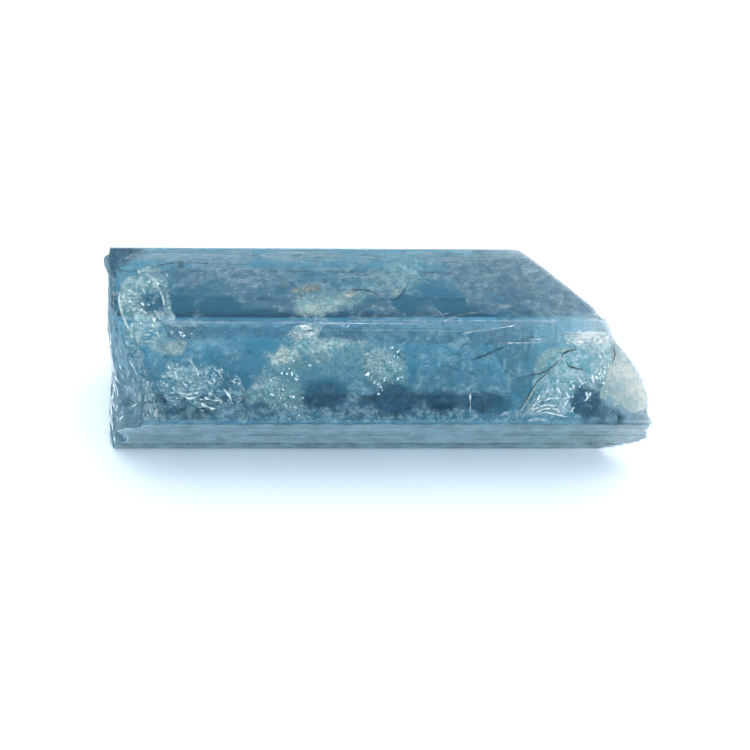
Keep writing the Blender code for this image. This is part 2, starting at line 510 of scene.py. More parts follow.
class Graph:
    """The nodes of one material."""

    def __init__(self, name: str) -> None:
        """Start a material of that name, with its Principled shader."""
        self.material = bpy.data.materials.new(name)
        self.material.use_nodes = True
        self.tree = self.material.node_tree
        self.shader = self.tree.nodes["Principled BSDF"]
        self.output = self.tree.nodes["Material Output"]
        self._place: bpy.types.NodeSocket | None = None

    def add(
        self, kind: str, settings: dict[str, object] | None = None, sockets: dict | None = None
    ) -> bpy.types.Node:
        """Add one node.

        Args:
            kind: The node's type.
            settings: Its properties, set first.
            sockets: What goes into its inputs, by name or number: a Value, a socket or a number.

        Returns:
            The node.
        """
        node = self.tree.nodes.new(kind)
        for name, value in (settings or {}).items():
            setattr(node, name, value)
        for name, value in (sockets or {}).items():
            self.feed(node.inputs[name], value)
        return node

    def feed(self, socket: bpy.types.NodeSocket, value: object) -> None:
        """Link a Value or a socket into a socket, or set a plain number or colour on it."""
        if isinstance(value, Value):
            value = value.socket
        if isinstance(value, bpy.types.NodeSocket):
            self.tree.links.new(value, socket)
        elif isinstance(value, tuple) and socket.type == "RGBA":
            socket.default_value = (*value, 1.0)
        else:
            socket.default_value = value

    def set(self, **inputs: object) -> None:
        """Feed the shader's inputs, each named with _ for a space."""
        for name, value in inputs.items():
            self.feed(self.shader.inputs[name.replace("_", " ")], value)

    def place(self) -> bpy.types.NodeSocket:
        """Where each point of the piece is, in millimetres."""
        if self._place is None:
            where = self.add("ShaderNodeTexCoord").outputs["Object"]
            scaled = self.add(
                "ShaderNodeVectorMath", {"operation": "SCALE"}, {0: where, "Scale": 1 / MM}
            )
            self._place = scaled.outputs[0]
        return self._place

    def spread(self, size: float | Spot, seed: float) -> bpy.types.NodeSocket:
        """The place divided by a size along each axis and moved by a seed."""
        sizes = size if isinstance(size, tuple) else (size, size, size)
        return self.add(
            "ShaderNodeVectorMath",
            {"operation": "MULTIPLY_ADD"},
            {0: self.place(), 1: tuple(1 / s for s in sizes), 2: (seed, seed * 1.7, seed * 2.3)},
        ).outputs[0]

    def clouds(self, size: float | Spot, seed: float, detail: float = 4.0, rough: float = 0.55) -> Value:
        """Cloudy noise from 0 to 1, about 0.5 on average.

        Args:
            size: Width of the largest clouds in millimetres, or their size along x, y and z.
            seed: Any number; each gives clouds of its own.
            detail: How many finer layers there are.
            rough: How strong the finer layers are.

        Returns:
            The noise.
        """
        sockets = {"Vector": self.spread(size, seed), "Scale": 1.0, "Detail": detail, "Roughness": rough}
        return Value(self, self.add("ShaderNodeTexNoise", None, sockets).outputs["Fac"])

    def cracks(self, size: float | Spot, seed: float, bend: float = 0.5) -> Value:
        """Distance to the nearest of a net of cracks, in shares of the net's mesh width."""
        bent = self.add(
            "ShaderNodeTexNoise", None, {"Vector": self.spread(size, seed + 5), "Scale": 1.3, "Detail": 3.0}
        )
        moved = self.add(
            "ShaderNodeVectorMath",
            {"operation": "MULTIPLY_ADD"},
            {0: bent.outputs["Color"], 1: (bend, bend, bend), 2: self.spread(size, seed)},
        )
        net = self.add(
            "ShaderNodeTexVoronoi",
            {"feature": "DISTANCE_TO_EDGE"},
            {"Vector": moved.outputs[0], "Scale": 1.0},
        )
        return Value(self, net.outputs["Distance"])

    def reading(self, name: str) -> Value:
        """A number that the mesh holds for each of its points."""
        node = self.add("ShaderNodeAttribute", {"attribute_name": name})
        return Value(self, node.outputs["Fac"])

    def part_of(self, vector: bpy.types.NodeSocket, axis: str) -> Value:
        """The part of a vector that lies along one axis."""
        return Value(self, self.add("ShaderNodeSeparateXYZ", None, {"Vector": vector}).outputs[axis])

    def height(self) -> Value:
        """How far up the crystal a point of the surface is, in millimetres."""
        return self.part_of(self.add("ShaderNodeTexCoord").outputs["Object"], "Z") * (1 / MM)

    def facing(self, axis: str) -> Value:
        """How far the surface faces along an axis of the crystal, from -1 to 1."""
        return self.part_of(self.add("ShaderNodeTexCoord").outputs["Normal"], axis)

    def blend(self, share: Value | float, first: object, second: object) -> bpy.types.NodeSocket:
        """A colour between two colours."""
        node = self.add("ShaderNodeMix", {"data_type": "RGBA"}, {0: share, 6: first, 7: second})
        return node.outputs[2]

    def bump(self, height: Value, distance_mm: float) -> bpy.types.NodeSocket:
        """A normal bent by a height that spans distance_mm."""
        sockets = {"Height": height, "Distance": distance_mm * MM, "Strength": 1.0}
        node = self.add("ShaderNodeBump", None, sockets)
        return node.outputs["Normal"]


@dataclass(frozen=True)
class ClearBeryl:
    """Transparent blue beryl: glassy prism faces, frosted where it is broken."""

    tint: Colour = (0.99, 0.99, 0.99)
    taken_per_mm: Colour = (0.213, 0.111, 0.083)
    ior: float = 1.577
    polish: float = 0.04
    etched: float = 0.16
    frost: float = 1.0
    worn: float = 0.5
    gloss_tint: Colour = (0.30, 0.64, 0.88)
    frost_size: float = 0.25
    growth_size: Spot = (9.0, 0.35, 0.35)
    etch_size: Spot = (1.6, 0.8, 0.8)
    scuff_size: Spot = (2.2, 1.6, 1.6)
    bump: float = 0.05

    def material(self) -> bpy.types.Material:
        """Make the material."""
        graph = Graph("clear_beryl")
        broken = graph.facing("X").size().step(0.25, 0.5)
        whole = 1 - broken
        behind = graph.facing("Y").step(0.3, 0.5)
        grain = graph.clouds(self.frost_size, 3.0, detail=3.0)
        growth = graph.clouds(self.growth_size, 11.0, detail=3.0)
        etch = graph.clouds(self.etch_size, 21.0)
        scuffed = graph.clouds(self.scuff_size, 31.0).step(0.40, 0.60)
        under = (1 - graph.height().step(0.1, 0.4)) * scuffed
        height = broken * grain * 2.0 + whole * (growth * 0.15 + etch * 0.5 + behind * etch * 2.0)
        rough = self.polish + behind * whole * (self.etched - self.polish) + under * whole * self.worn
        graph.set(
            Base_Color=self.tint,
            Roughness=rough + broken * (self.frost - self.polish) * (0.8 + 0.3 * grain),
            IOR=self.ior,
            Transmission_Weight=1.0,
            Specular_Tint=self.gloss_tint,
            Normal=graph.bump(height, self.bump),
        )
        density = max(self.taken_per_mm) / MM / 0.9
        passed = tuple(1 - taken / MM / density for taken in self.taken_per_mm)
        volume = graph.add("ShaderNodeVolumeAbsorption", None, {"Color": passed, "Density": density})
        graph.feed(graph.output.inputs["Volume"], volume.outputs["Volume"])
        return graph.material


@dataclass(frozen=True)
class VeilFinish:
    """A film of tiny bubbles and hairline cracks: dense in some places, missing in others. Some of these
    films are painted shade and painted sheen instead.
    """

    name: str
    pale: Colour = (0.92, 0.93, 0.86)
    deep: Colour = (0.55, 0.66, 0.62)
    cover: float = 0.5
    most: float = 0.8
    cloud: float | Spot = 1.2
    edge: float = 0.2
    grain: float | Spot = 0.22
    grainy: float = 0.5
    web: float = 0.0
    web_size: float | Spot = 1.5
    web_width: float = 0.10
    warm: Colour | None = None
    mottle: float | Spot = 0.55
    bump: float = 0.015
    roughness: float = 0.5
    seed: float = 1.0

    def material(self) -> bpy.types.Material:
        """Make the material. The mesh's fade says how dense the film is at each point."""
        graph = Graph(self.name)
        fade = graph.reading("fade")
        cloud = graph.clouds(self.cloud, self.seed, detail=8.0, rough=0.68)
        grain = graph.clouds(self.grain, self.seed + 3, detail=3.0, rough=0.6)
        middle = 0.5 + (0.5 - self.cover) * 0.4
        body = (cloud + (fade - 1) * 0.5).step(middle - self.edge, middle + self.edge)
        alpha = body * (1 - self.grainy + self.grainy * grain.step(0.40, 0.60)) * self.most
        if self.web:
            lines = 1 - graph.cracks(self.web_size, self.seed + 7).step(0.0, self.web_width)
            broken = graph.clouds(0.9, self.seed + 4).step(0.42, 0.6)
            alpha = alpha.largest(lines * broken * self.web)
        shade = graph.clouds(self.mottle, self.seed + 9, detail=7.0, rough=0.75)
        colour = graph.blend(shade.step(0.40, 0.60), self.deep, self.pale)
        if self.warm:
            stained = graph.clouds(1.5, self.seed + 12, detail=5.0, rough=0.65)
            colour = graph.blend(stained.step(0.52, 0.68), colour, self.warm)
        graph.set(
            Base_Color=colour,
            Roughness=self.roughness,
            Alpha=alpha * fade.step(0.0, 0.4),
            Normal=graph.bump(grain + cloud, self.bump),
        )
        return graph.material


@dataclass(frozen=True)
class FlakeFinish:
    """Bright little cracks that flash where they face the light."""

    name: str
    colour: Colour = (0.95, 0.98, 0.96)
    roughness: float = 0.15
    metallic: float = 1.0
    mottle: float = 0.3
    dimmed: float = 0.75

    def material(self) -> bpy.types.Material:
        """Make the material."""
        graph = Graph(self.name)
        shade = graph.clouds(self.mottle, 2.0)
        dim = tuple(self.dimmed * part for part in self.colour)
        graph.set(
            Base_Color=graph.blend(shade.step(0.35, 0.65), dim, self.colour),
            Roughness=self.roughness,
            Metallic=self.metallic,
        )
        return graph.material


@dataclass(frozen=True)
class StainFinish:
    """Iron oxide or dark mineral that crept into a crack."""

    name: str
    dark: Colour = (0.01, 0.012, 0.012)
    light: Colour = (0.07, 0.055, 0.035)
    mottle: float = 0.35
    roughness: float = 0.7

    def material(self) -> bpy.types.Material:
        """Make the material."""
        graph = Graph(self.name)
        shade = graph.clouds(self.mottle, 4.0)
        graph.set(
            Base_Color=graph.blend(shade.step(0.35, 0.65), self.dark, self.light),
            Roughness=self.roughness,
        )
        return graph.material


@dataclass(frozen=True)
class View:
    """The main camera, and where each step across and down its 750-step picture looks."""

    lens: float = 150.0
    sensor: float = 36.0
    frame_width: float = 54.95
    elevation: float = 45.0
    aim: Spot = (-0.073, -1.372, 5.296)
    steps: int = 750

    def ahead(self) -> Array:
        """The direction that the camera faces."""
        tilt = math.radians(self.elevation)
        return np.array((0.0, math.cos(tilt), -math.sin(tilt)))

    def eye(self) -> Array:
        """Where the camera stands, in millimetres."""
        return np.array(self.aim) - self.lens * self.frame_width / self.sensor * self.ahead()

    def rays(self, across: Array, down: Array) -> Array:
        """The line of sight through each step of the picture, as unit vectors."""
        step = self.frame_width / self.steps
        right = np.array((1.0, 0.0, 0.0))
        up = np.cross(right, self.ahead())
        sideways = (np.asarray(across) - self.steps / 2) * step
        upward = (self.steps / 2 - np.asarray(down)) * step
        spots = np.array(self.aim) + sideways[:, None] * right + upward[:, None] * up
        rays = spots - self.eye()
        return rays / np.linalg.norm(rays, axis=1)[:, None]


VIEW = View()


@dataclass(frozen=True)
class Pane:
    """One prism face as a window: it places things where the camera sees them through it."""

    form: PrismForm
    side: Side
    ior: float = 1.577
    marks_x: Spot = (-15.0, -15.0, 12.0)
    marks_share: Spot = (0.3, 0.7, 0.3)

    def at(self, spots: Array) -> Array:
        """Points inside the crystal.

        Args:
            spots: Rows of steps across and down the picture, and depth in millimetres behind
                the face, along the line of sight as the face bends it.

        Returns:
            Rows of x, y, z in millimetres.
        """
        spots = np.atleast_2d(np.array(spots, float))
        y, z = self.form.on_face(self.side, np.array(self.marks_share), np.zeros(3))
        a, b, c = self.form.shape_sides(np.stack([np.array(self.marks_x), y, z], 1))
        normal = np.cross(b - a, c - a)
        rays = VIEW.rays(spots[:, 0], spots[:, 1])
        normal *= -np.sign(rays[0] @ normal) / np.linalg.norm(normal)
        hits = VIEW.eye() + (((a - VIEW.eye()) @ normal) / (rays @ normal))[:, None] * rays
        facing = -(rays @ normal)
        ratio = 1 / self.ior
        bend = ratio * facing - np.sqrt(1 - ratio**2 * (1 - facing**2))
        return hits + spots[:, 2:3] * (ratio * rays + bend[:, None] * normal)


@dataclass(frozen=True)
class LeftPane:
    """The broken left end as a place to lay things on: spots are y, z and depth under it."""

    form: PrismForm

    def at(self, spots: Array) -> Array:
        """Points just inside the left end."""
        y, z, depth = np.atleast_2d(np.array(spots, float)).T
        return np.stack([self.form.left_x(y, z) + depth, y, z], 1)


def depth_inside(spots: Array, outline: Array) -> Array:
    """How far inside a closed outline each spot lies; below zero outside it."""
    starts = np.asarray(outline, float)
    ends = np.roll(starts, -1, axis=0)
    along = ends - starts
    offset = spots[:, None] - starts
    share = np.clip((offset * along).sum(2) / (along**2).sum(1), 0, 1)
    distance = np.linalg.norm(offset - share[..., None] * along, axis=2).min(1)
    x, y = spots[:, None, 0], spots[:, None, 1]
    spans = (starts[:, 1] > y) != (ends[:, 1] > y)
    drop = np.where(along[:, 1] == 0, 1.0, along[:, 1])
    crossing = starts[:, 0] + (y - starts[:, 1]) / drop * along[:, 0]
    inside = (spans & (x < crossing)).sum(1) % 2 == 1
    return np.where(inside, distance, -distance)


@dataclass(frozen=True)
class Patch:
    """A soft oval place where a film is thicker, or thinner if its amount is below zero."""

    across: float
    down: float
    wide: float
    high: float
    amount: float = 1.0
    turn: float = 0.0

    def over(self, spots: Array) -> Array:
        """How much it adds at each spot."""
        x, y = spots[:, 0] - self.across, spots[:, 1] - self.down
        cos, sin = math.cos(math.radians(self.turn)), math.sin(math.radians(self.turn))
        reach = np.hypot((x * cos + y * sin) / self.wide, (y * cos - x * sin) / self.high)
        return self.amount * smooth_step(1.5 - reach)


@dataclass(frozen=True)
class Film:
    """A thin wavy sheet inside the crystal, thick in some places: most are inclusions, and some are painted
    shade and painted sheen.

    Its outline and patches are steps across and down the picture; its depth, waves and ripples
    are millimetres.
    """

    name: str
    side: Side
    finish: VeilFinish
    outline: Outline
    depth: float = 1.0
    lean: tuple[float, float] = (0.0, 0.0)
    patches: tuple[Patch, ...] = ()
    base: float = 1.0
    soft: float = 7.0
    cell: float = 1.6
    wobble: float = 0.25
    wave: float = 2.2
    ripple: float = 0.35
    ragged: float = 0.45
    ragged_size: float = 0.8
    thickest: float = 1.6
    thinnest: float = 0.02
    margin: float = 0.04
    seed: float = 0.0

    def build(self, form: PrismForm) -> bpy.types.Object:
        """Make the sheet."""
        pane = Pane(form, self.side)
        outline = np.array(self.outline, float)
        low, high = outline.min(0), outline.max(0)
        columns = np.arange(low[0], high[0] + self.cell, self.cell)
        rows = np.arange(low[1], high[1] + self.cell, self.cell)
        flat = np.stack([axis.ravel() for axis in np.meshgrid(columns, rows)], 1)
        depth = self.depth + (flat - outline.mean(0)) @ np.array(self.lean) / 100
        rough = pane.at(np.column_stack([flat, depth]))
        depth += self.wobble * relief(rough, self.wave, self.seed + 0.3)
        depth += self.ripple * self.wobble * relief(rough, self.wave / 4, self.seed + 0.7)
        points = pane.at(np.column_stack([flat, depth]))
        edge = depth_inside(flat, outline) / self.soft
        edge += self.ragged * relief(rough, self.ragged_size, self.seed + 1.9) * (edge < 1.5)
        fade = np.clip(self.base + sum(patch.over(flat) for patch in self.patches), 0, self.thickest)
        fade *= smooth_step(edge)
        held = form.holds(points, self.margin)
        wide = len(columns)
        start = (np.arange(len(rows) - 1)[:, None] * wide + np.arange(wide - 1)).ravel()
        quads = np.stack([start, start + 1, start + wide + 1, start + wide], 1)
        quads = quads[held[quads].all(1) & (fade[quads].max(1) > self.thinnest)]
        used, index = np.unique(quads, return_inverse=True)
        faces = [tuple(quad) for quad in index.reshape(quads.shape).tolist()]
        piece = make_piece(self.name, points[used], faces, sharp_angle=180.0)
        hold_reading(piece, "fade", fade[used])
        piece.data.materials.append(self.finish.material())
        return piece


@dataclass(frozen=True)
class Flakes:
    """A swarm of little flat cracks, scattered over an outline in the camera's picture."""

    name: str
    side: Side
    finish: FlakeFinish
    outline: Outline
    count: int
    depth: tuple[float, float] = (0.08, 0.6)
    size: tuple[float, float] = (0.02, 0.12)
    long: float = 2.2
    along: tuple[float, float] = (1.0, 0.3)
    swing: float = 0.5
    tilt: float = 0.2
    clump: float = 0.9
    loners: float = 0.35
    to_camera: float = 0.6
    corners: int = 6
    bow: float = 0.25
    margin: float = 0.015
    seed: int = 1

    def middles(self, form: PrismForm, rng: np.random.Generator) -> Array:
        """Where the cracks lie: more of them in some places than in others."""
        outline = np.array(self.outline, float)
        low, high = outline.min(0), outline.max(0)
        tries = low + rng.random((self.count * 5, 2)) * (high - low)
        tries = tries[depth_inside(tries, outline) > 0]
        deep = self.depth[0] + rng.random(len(tries)) * (self.depth[1] - self.depth[0])
        points = Pane(form, self.side).at(np.column_stack([tries, deep]))
        crowd = relief(points, self.clump, self.seed * 0.37) + self.loners * rng.normal(size=len(points))
        best = np.sort(np.argsort(-crowd)[: self.count])
        points = points[best]
        return points[form.holds(points, 0.04)]

    def build(self, form: PrismForm) -> bpy.types.Object:
        """Make the swarm as one mesh."""
        rng = np.random.default_rng(self.seed)
        middle = np.array(self.outline, float).mean(0)
        spots = [(*middle, 1.0), (*(middle + np.array(self.along)), 1.0)]
        here, there = Pane(form, self.side).at(np.array(spots))
        grain = (there - here) / np.linalg.norm(there - here)
        count, shapes = self.corners, []
        facing = -VIEW.ahead() * self.to_camera + self.side.outward() * (1 - self.to_camera)
        for spot in self.middles(form, rng):
            normal = facing + rng.normal(0, self.tilt, 3)
            normal /= np.linalg.norm(normal)
            first = grain + rng.normal(0, self.swing, 3)
            first -= (first @ normal) * normal
            first /= np.linalg.norm(first)
            second = np.cross(normal, first)
            size = self.size[0] + (self.size[1] - self.size[0]) * rng.random() ** 2
            turns = np.sort(rng.random(count)) * 2 * np.pi
            reach = size * (0.55 + 0.45 * rng.random(count))
            bend = self.bow * reach * rng.normal(0, 1, count)
            shapes.append(
                spot
                + (reach * np.cos(turns) * self.long)[:, None] * first
                + (reach * np.sin(turns))[:, None] * second
                + bend[:, None] * normal
            )
        points = np.array(shapes)
        inside = form.holds(points.reshape(-1, 3), self.margin).reshape(-1, count).all(1)
        points = points[inside].reshape(-1, 3)
        starts = range(0, len(points), count)
        faces = [(start, start + i, start + i + 1) for start in starts for i in range(1, count - 1)]
        piece = make_piece(self.name, points, faces)
        piece.data.materials.append(self.finish.material())
        return piece


@dataclass(frozen=True)
class Strands:
    """Fine threads, rims and scratches, and a few painted highlight lines: thin tubes along smooth lines.

    A spot of a line is a step across and a step down, then its depth if that isn't the common
    one. With no side, the lines lie on the broken left end, as y and z.
    """

    name: str
    side: Side | None
    finish: "FlakeFinish | StainFinish"
    lines: tuple[tuple[tuple[float, ...], ...], ...]
    depth: float = 0.3
    radius: float = 0.035
    ragged: float = 0.45
    flat: float = 1.0
    sides: int = 6
    knot_steps: int = 9
    swell_size: float = 0.35

    def build(self, form: PrismForm) -> bpy.types.Object:
        """Make all the tubes as one mesh."""
        pane = LeftPane(form) if self.side is None else Pane(form, self.side)
        points: list[Array] = []
        faces: list[tuple[int, ...]] = []
        sides = self.sides
        for line in self.lines:
            spots = np.array([(*spot, self.depth)[:3] for spot in line])
            course = smooth_line(pane.at(spots), self.knot_steps)
            ahead = np.gradient(course, axis=0)
            ahead /= np.linalg.norm(ahead, axis=1)[:, None]
            first = np.cross(ahead, VIEW.ahead() * (1, 0.8, 1.2))
            first /= np.linalg.norm(first, axis=1)[:, None]
            second = self.flat * np.cross(ahead, first)
            swell = 1 - self.ragged * (0.5 + relief(course, self.swell_size, 3.3 + len(points)))
            taper = np.sin(np.pi * (np.arange(len(course)) + 0.6) / (len(course) + 0.2)) ** 0.5
            radius = self.radius * np.clip(swell, 0.15, 1.3) * taper
            base = sum(len(ring) for ring in points)
            for k in range(sides):
                turn = 2 * math.pi * k / sides
                spoke = math.cos(turn) * first + math.sin(turn) * second
                points.append(course + radius[:, None] * spoke)
            count = len(course)
            for k in range(sides):
                a, b = base + k * count, base + (k + 1) % sides * count
                faces += [(a + i, b + i, b + i + 1, a + i + 1) for i in range(count - 1)]
            faces.append(tuple(base + k * count for k in range(sides)))
            faces.append(tuple(base + (sides - 1 - k) * count + count - 1 for k in range(sides)))
        piece = make_piece(self.name, np.concatenate(points), faces, sharp_angle=60.0)
        piece.data.materials.append(self.finish.material())
        return piece


@dataclass(frozen=True)
class Grains:
    """Small rounded lumps of mineral, each a step across, a step down, a depth and a radius."""

    name: str
    side: Side
    finish: FlakeFinish
    lumps: tuple[tuple[float, float, float, float], ...]
    rough: float = 0.35
    flattened: float = 0.7

    def build(self, form: PrismForm) -> bpy.types.Object:
        """Make all the lumps as one mesh."""
        points, faces = [], []
        for across, down, depth, radius in self.lumps:
            bm = bmesh.new()
            bmesh.ops.create_icosphere(bm, subdivisions=2, radius=radius)
            ball = np.array([vert.co for vert in bm.verts])
            middle = Pane(form, self.side).at(np.array([(across, down, depth)]))[0]
            ball *= 1 + self.rough * relief(ball + middle, radius, across)[:, None]
            ball[:, 2] *= self.flattened
            base = sum(len(lump) for lump in points)
            points.append(ball + middle)
            faces += [tuple(base + vert.index for vert in face.verts) for face in bm.faces]
            bm.free()
        piece = make_piece(self.name, np.concatenate(points), faces, sharp_angle=180.0)
        piece.data.materials.append(self.finish.material())
        return piece


@dataclass(frozen=True)
class BrokenSkin:
    """The frosted layer just inside one end: thinner on the growth face of the right one."""

    name: str
    right: bool
    finish: VeilFinish
    depth: float = 0.07
    inset: float = 0.985
    rings: int = 70
    around: int = 132
    left_frost: float = 0.9
    tip: tuple[float, float] = (-6.6, 5.6)
    tip_frost: float = 1.25
    tip_reach: float = 14.0
    least_frost: float = 0.72
    most_frost: float = 1.2

    def build(self, form: PrismForm) -> bpy.types.Object:
        """Make the layer."""
        shares = np.linspace(0, 1, self.around // 6, endpoint=False)
        rim = np.concatenate(
            [np.stack(form.on_face(side, shares, np.full(len(shares), 0.02)), 1) for side in Side]
        )
        middle = np.array((0.0, form.axis_height))
        x_at = form.right_x if self.right else form.left_x
        inward = -self.depth if self.right else self.depth
        count, points = len(rim), []
        for ring in range(self.rings):
            spots = middle + self.inset * (1 - ring / self.rings) * (rim - middle)
            row = np.column_stack([x_at(spots[:, 0], spots[:, 1]) + inward, spots])
            points.append(form.shape_sides(row))
        points = np.concatenate(points)
        faces = []
        for ring in range(self.rings - 1):
            a, b = ring * count, (ring + 1) * count
            faces += [(a + i, a + (i + 1) % count, b + (i + 1) % count, b + i) for i in range(count)]
        piece = make_piece(self.name, points, faces, sharp_angle=180.0)
        hold_reading(piece, "fade", self.thick(points))
        piece.data.materials.append(self.finish.material())
        return piece

    def thick(self, points: Array) -> Array:
        """How thick the frost is at each point."""
        if not self.right:
            return np.full(len(points), self.left_frost)
        from_tip = np.hypot(points[:, 1] - self.tip[0], points[:, 2] - self.tip[1])
        return np.clip(self.tip_frost - from_tip / self.tip_reach, self.least_frost, self.most_frost)


def hold_reading(piece: bpy.types.Object, name: str, values: Array) -> None:
    """Keep a number for each point of a piece's mesh, for its material to read."""
    attribute = piece.data.attributes.new(name, "FLOAT", "POINT")
    attribute.data.foreach_set("value", values.astype(np.float32))


def smooth_line(knots: Array, steps: int) -> Array:
    """A curve through every knot.

    Args:
        knots: Rows of x, y, z.
        steps: How many points there are from one knot to the next.

    Returns:
        The points along the curve.
    """
    ends = np.vstack([2 * knots[0] - knots[1], knots, 2 * knots[-1] - knots[-2]])
    t = np.linspace(0, 1, steps, endpoint=False)[:, None]
    line = []
    for p0, p1, p2, p3 in zip(ends, ends[1:], ends[2:], ends[3:]):
        bend = 2 * p0 - 5 * p1 + 4 * p2 - p3
        twist = 3 * p1 - p0 - 3 * p2 + p3
        line.append(0.5 * (2 * p1 + (p2 - p0) * t + bend * t**2 + twist * t**3))
    return np.vstack([*line, knots[-1:]])


def build_all(form: PrismForm, *pieces: Film | Flakes | Strands | Grains | BrokenSkin) -> None:
    """Build pieces one after the other."""
    for piece in pieces:
        piece.build(form)


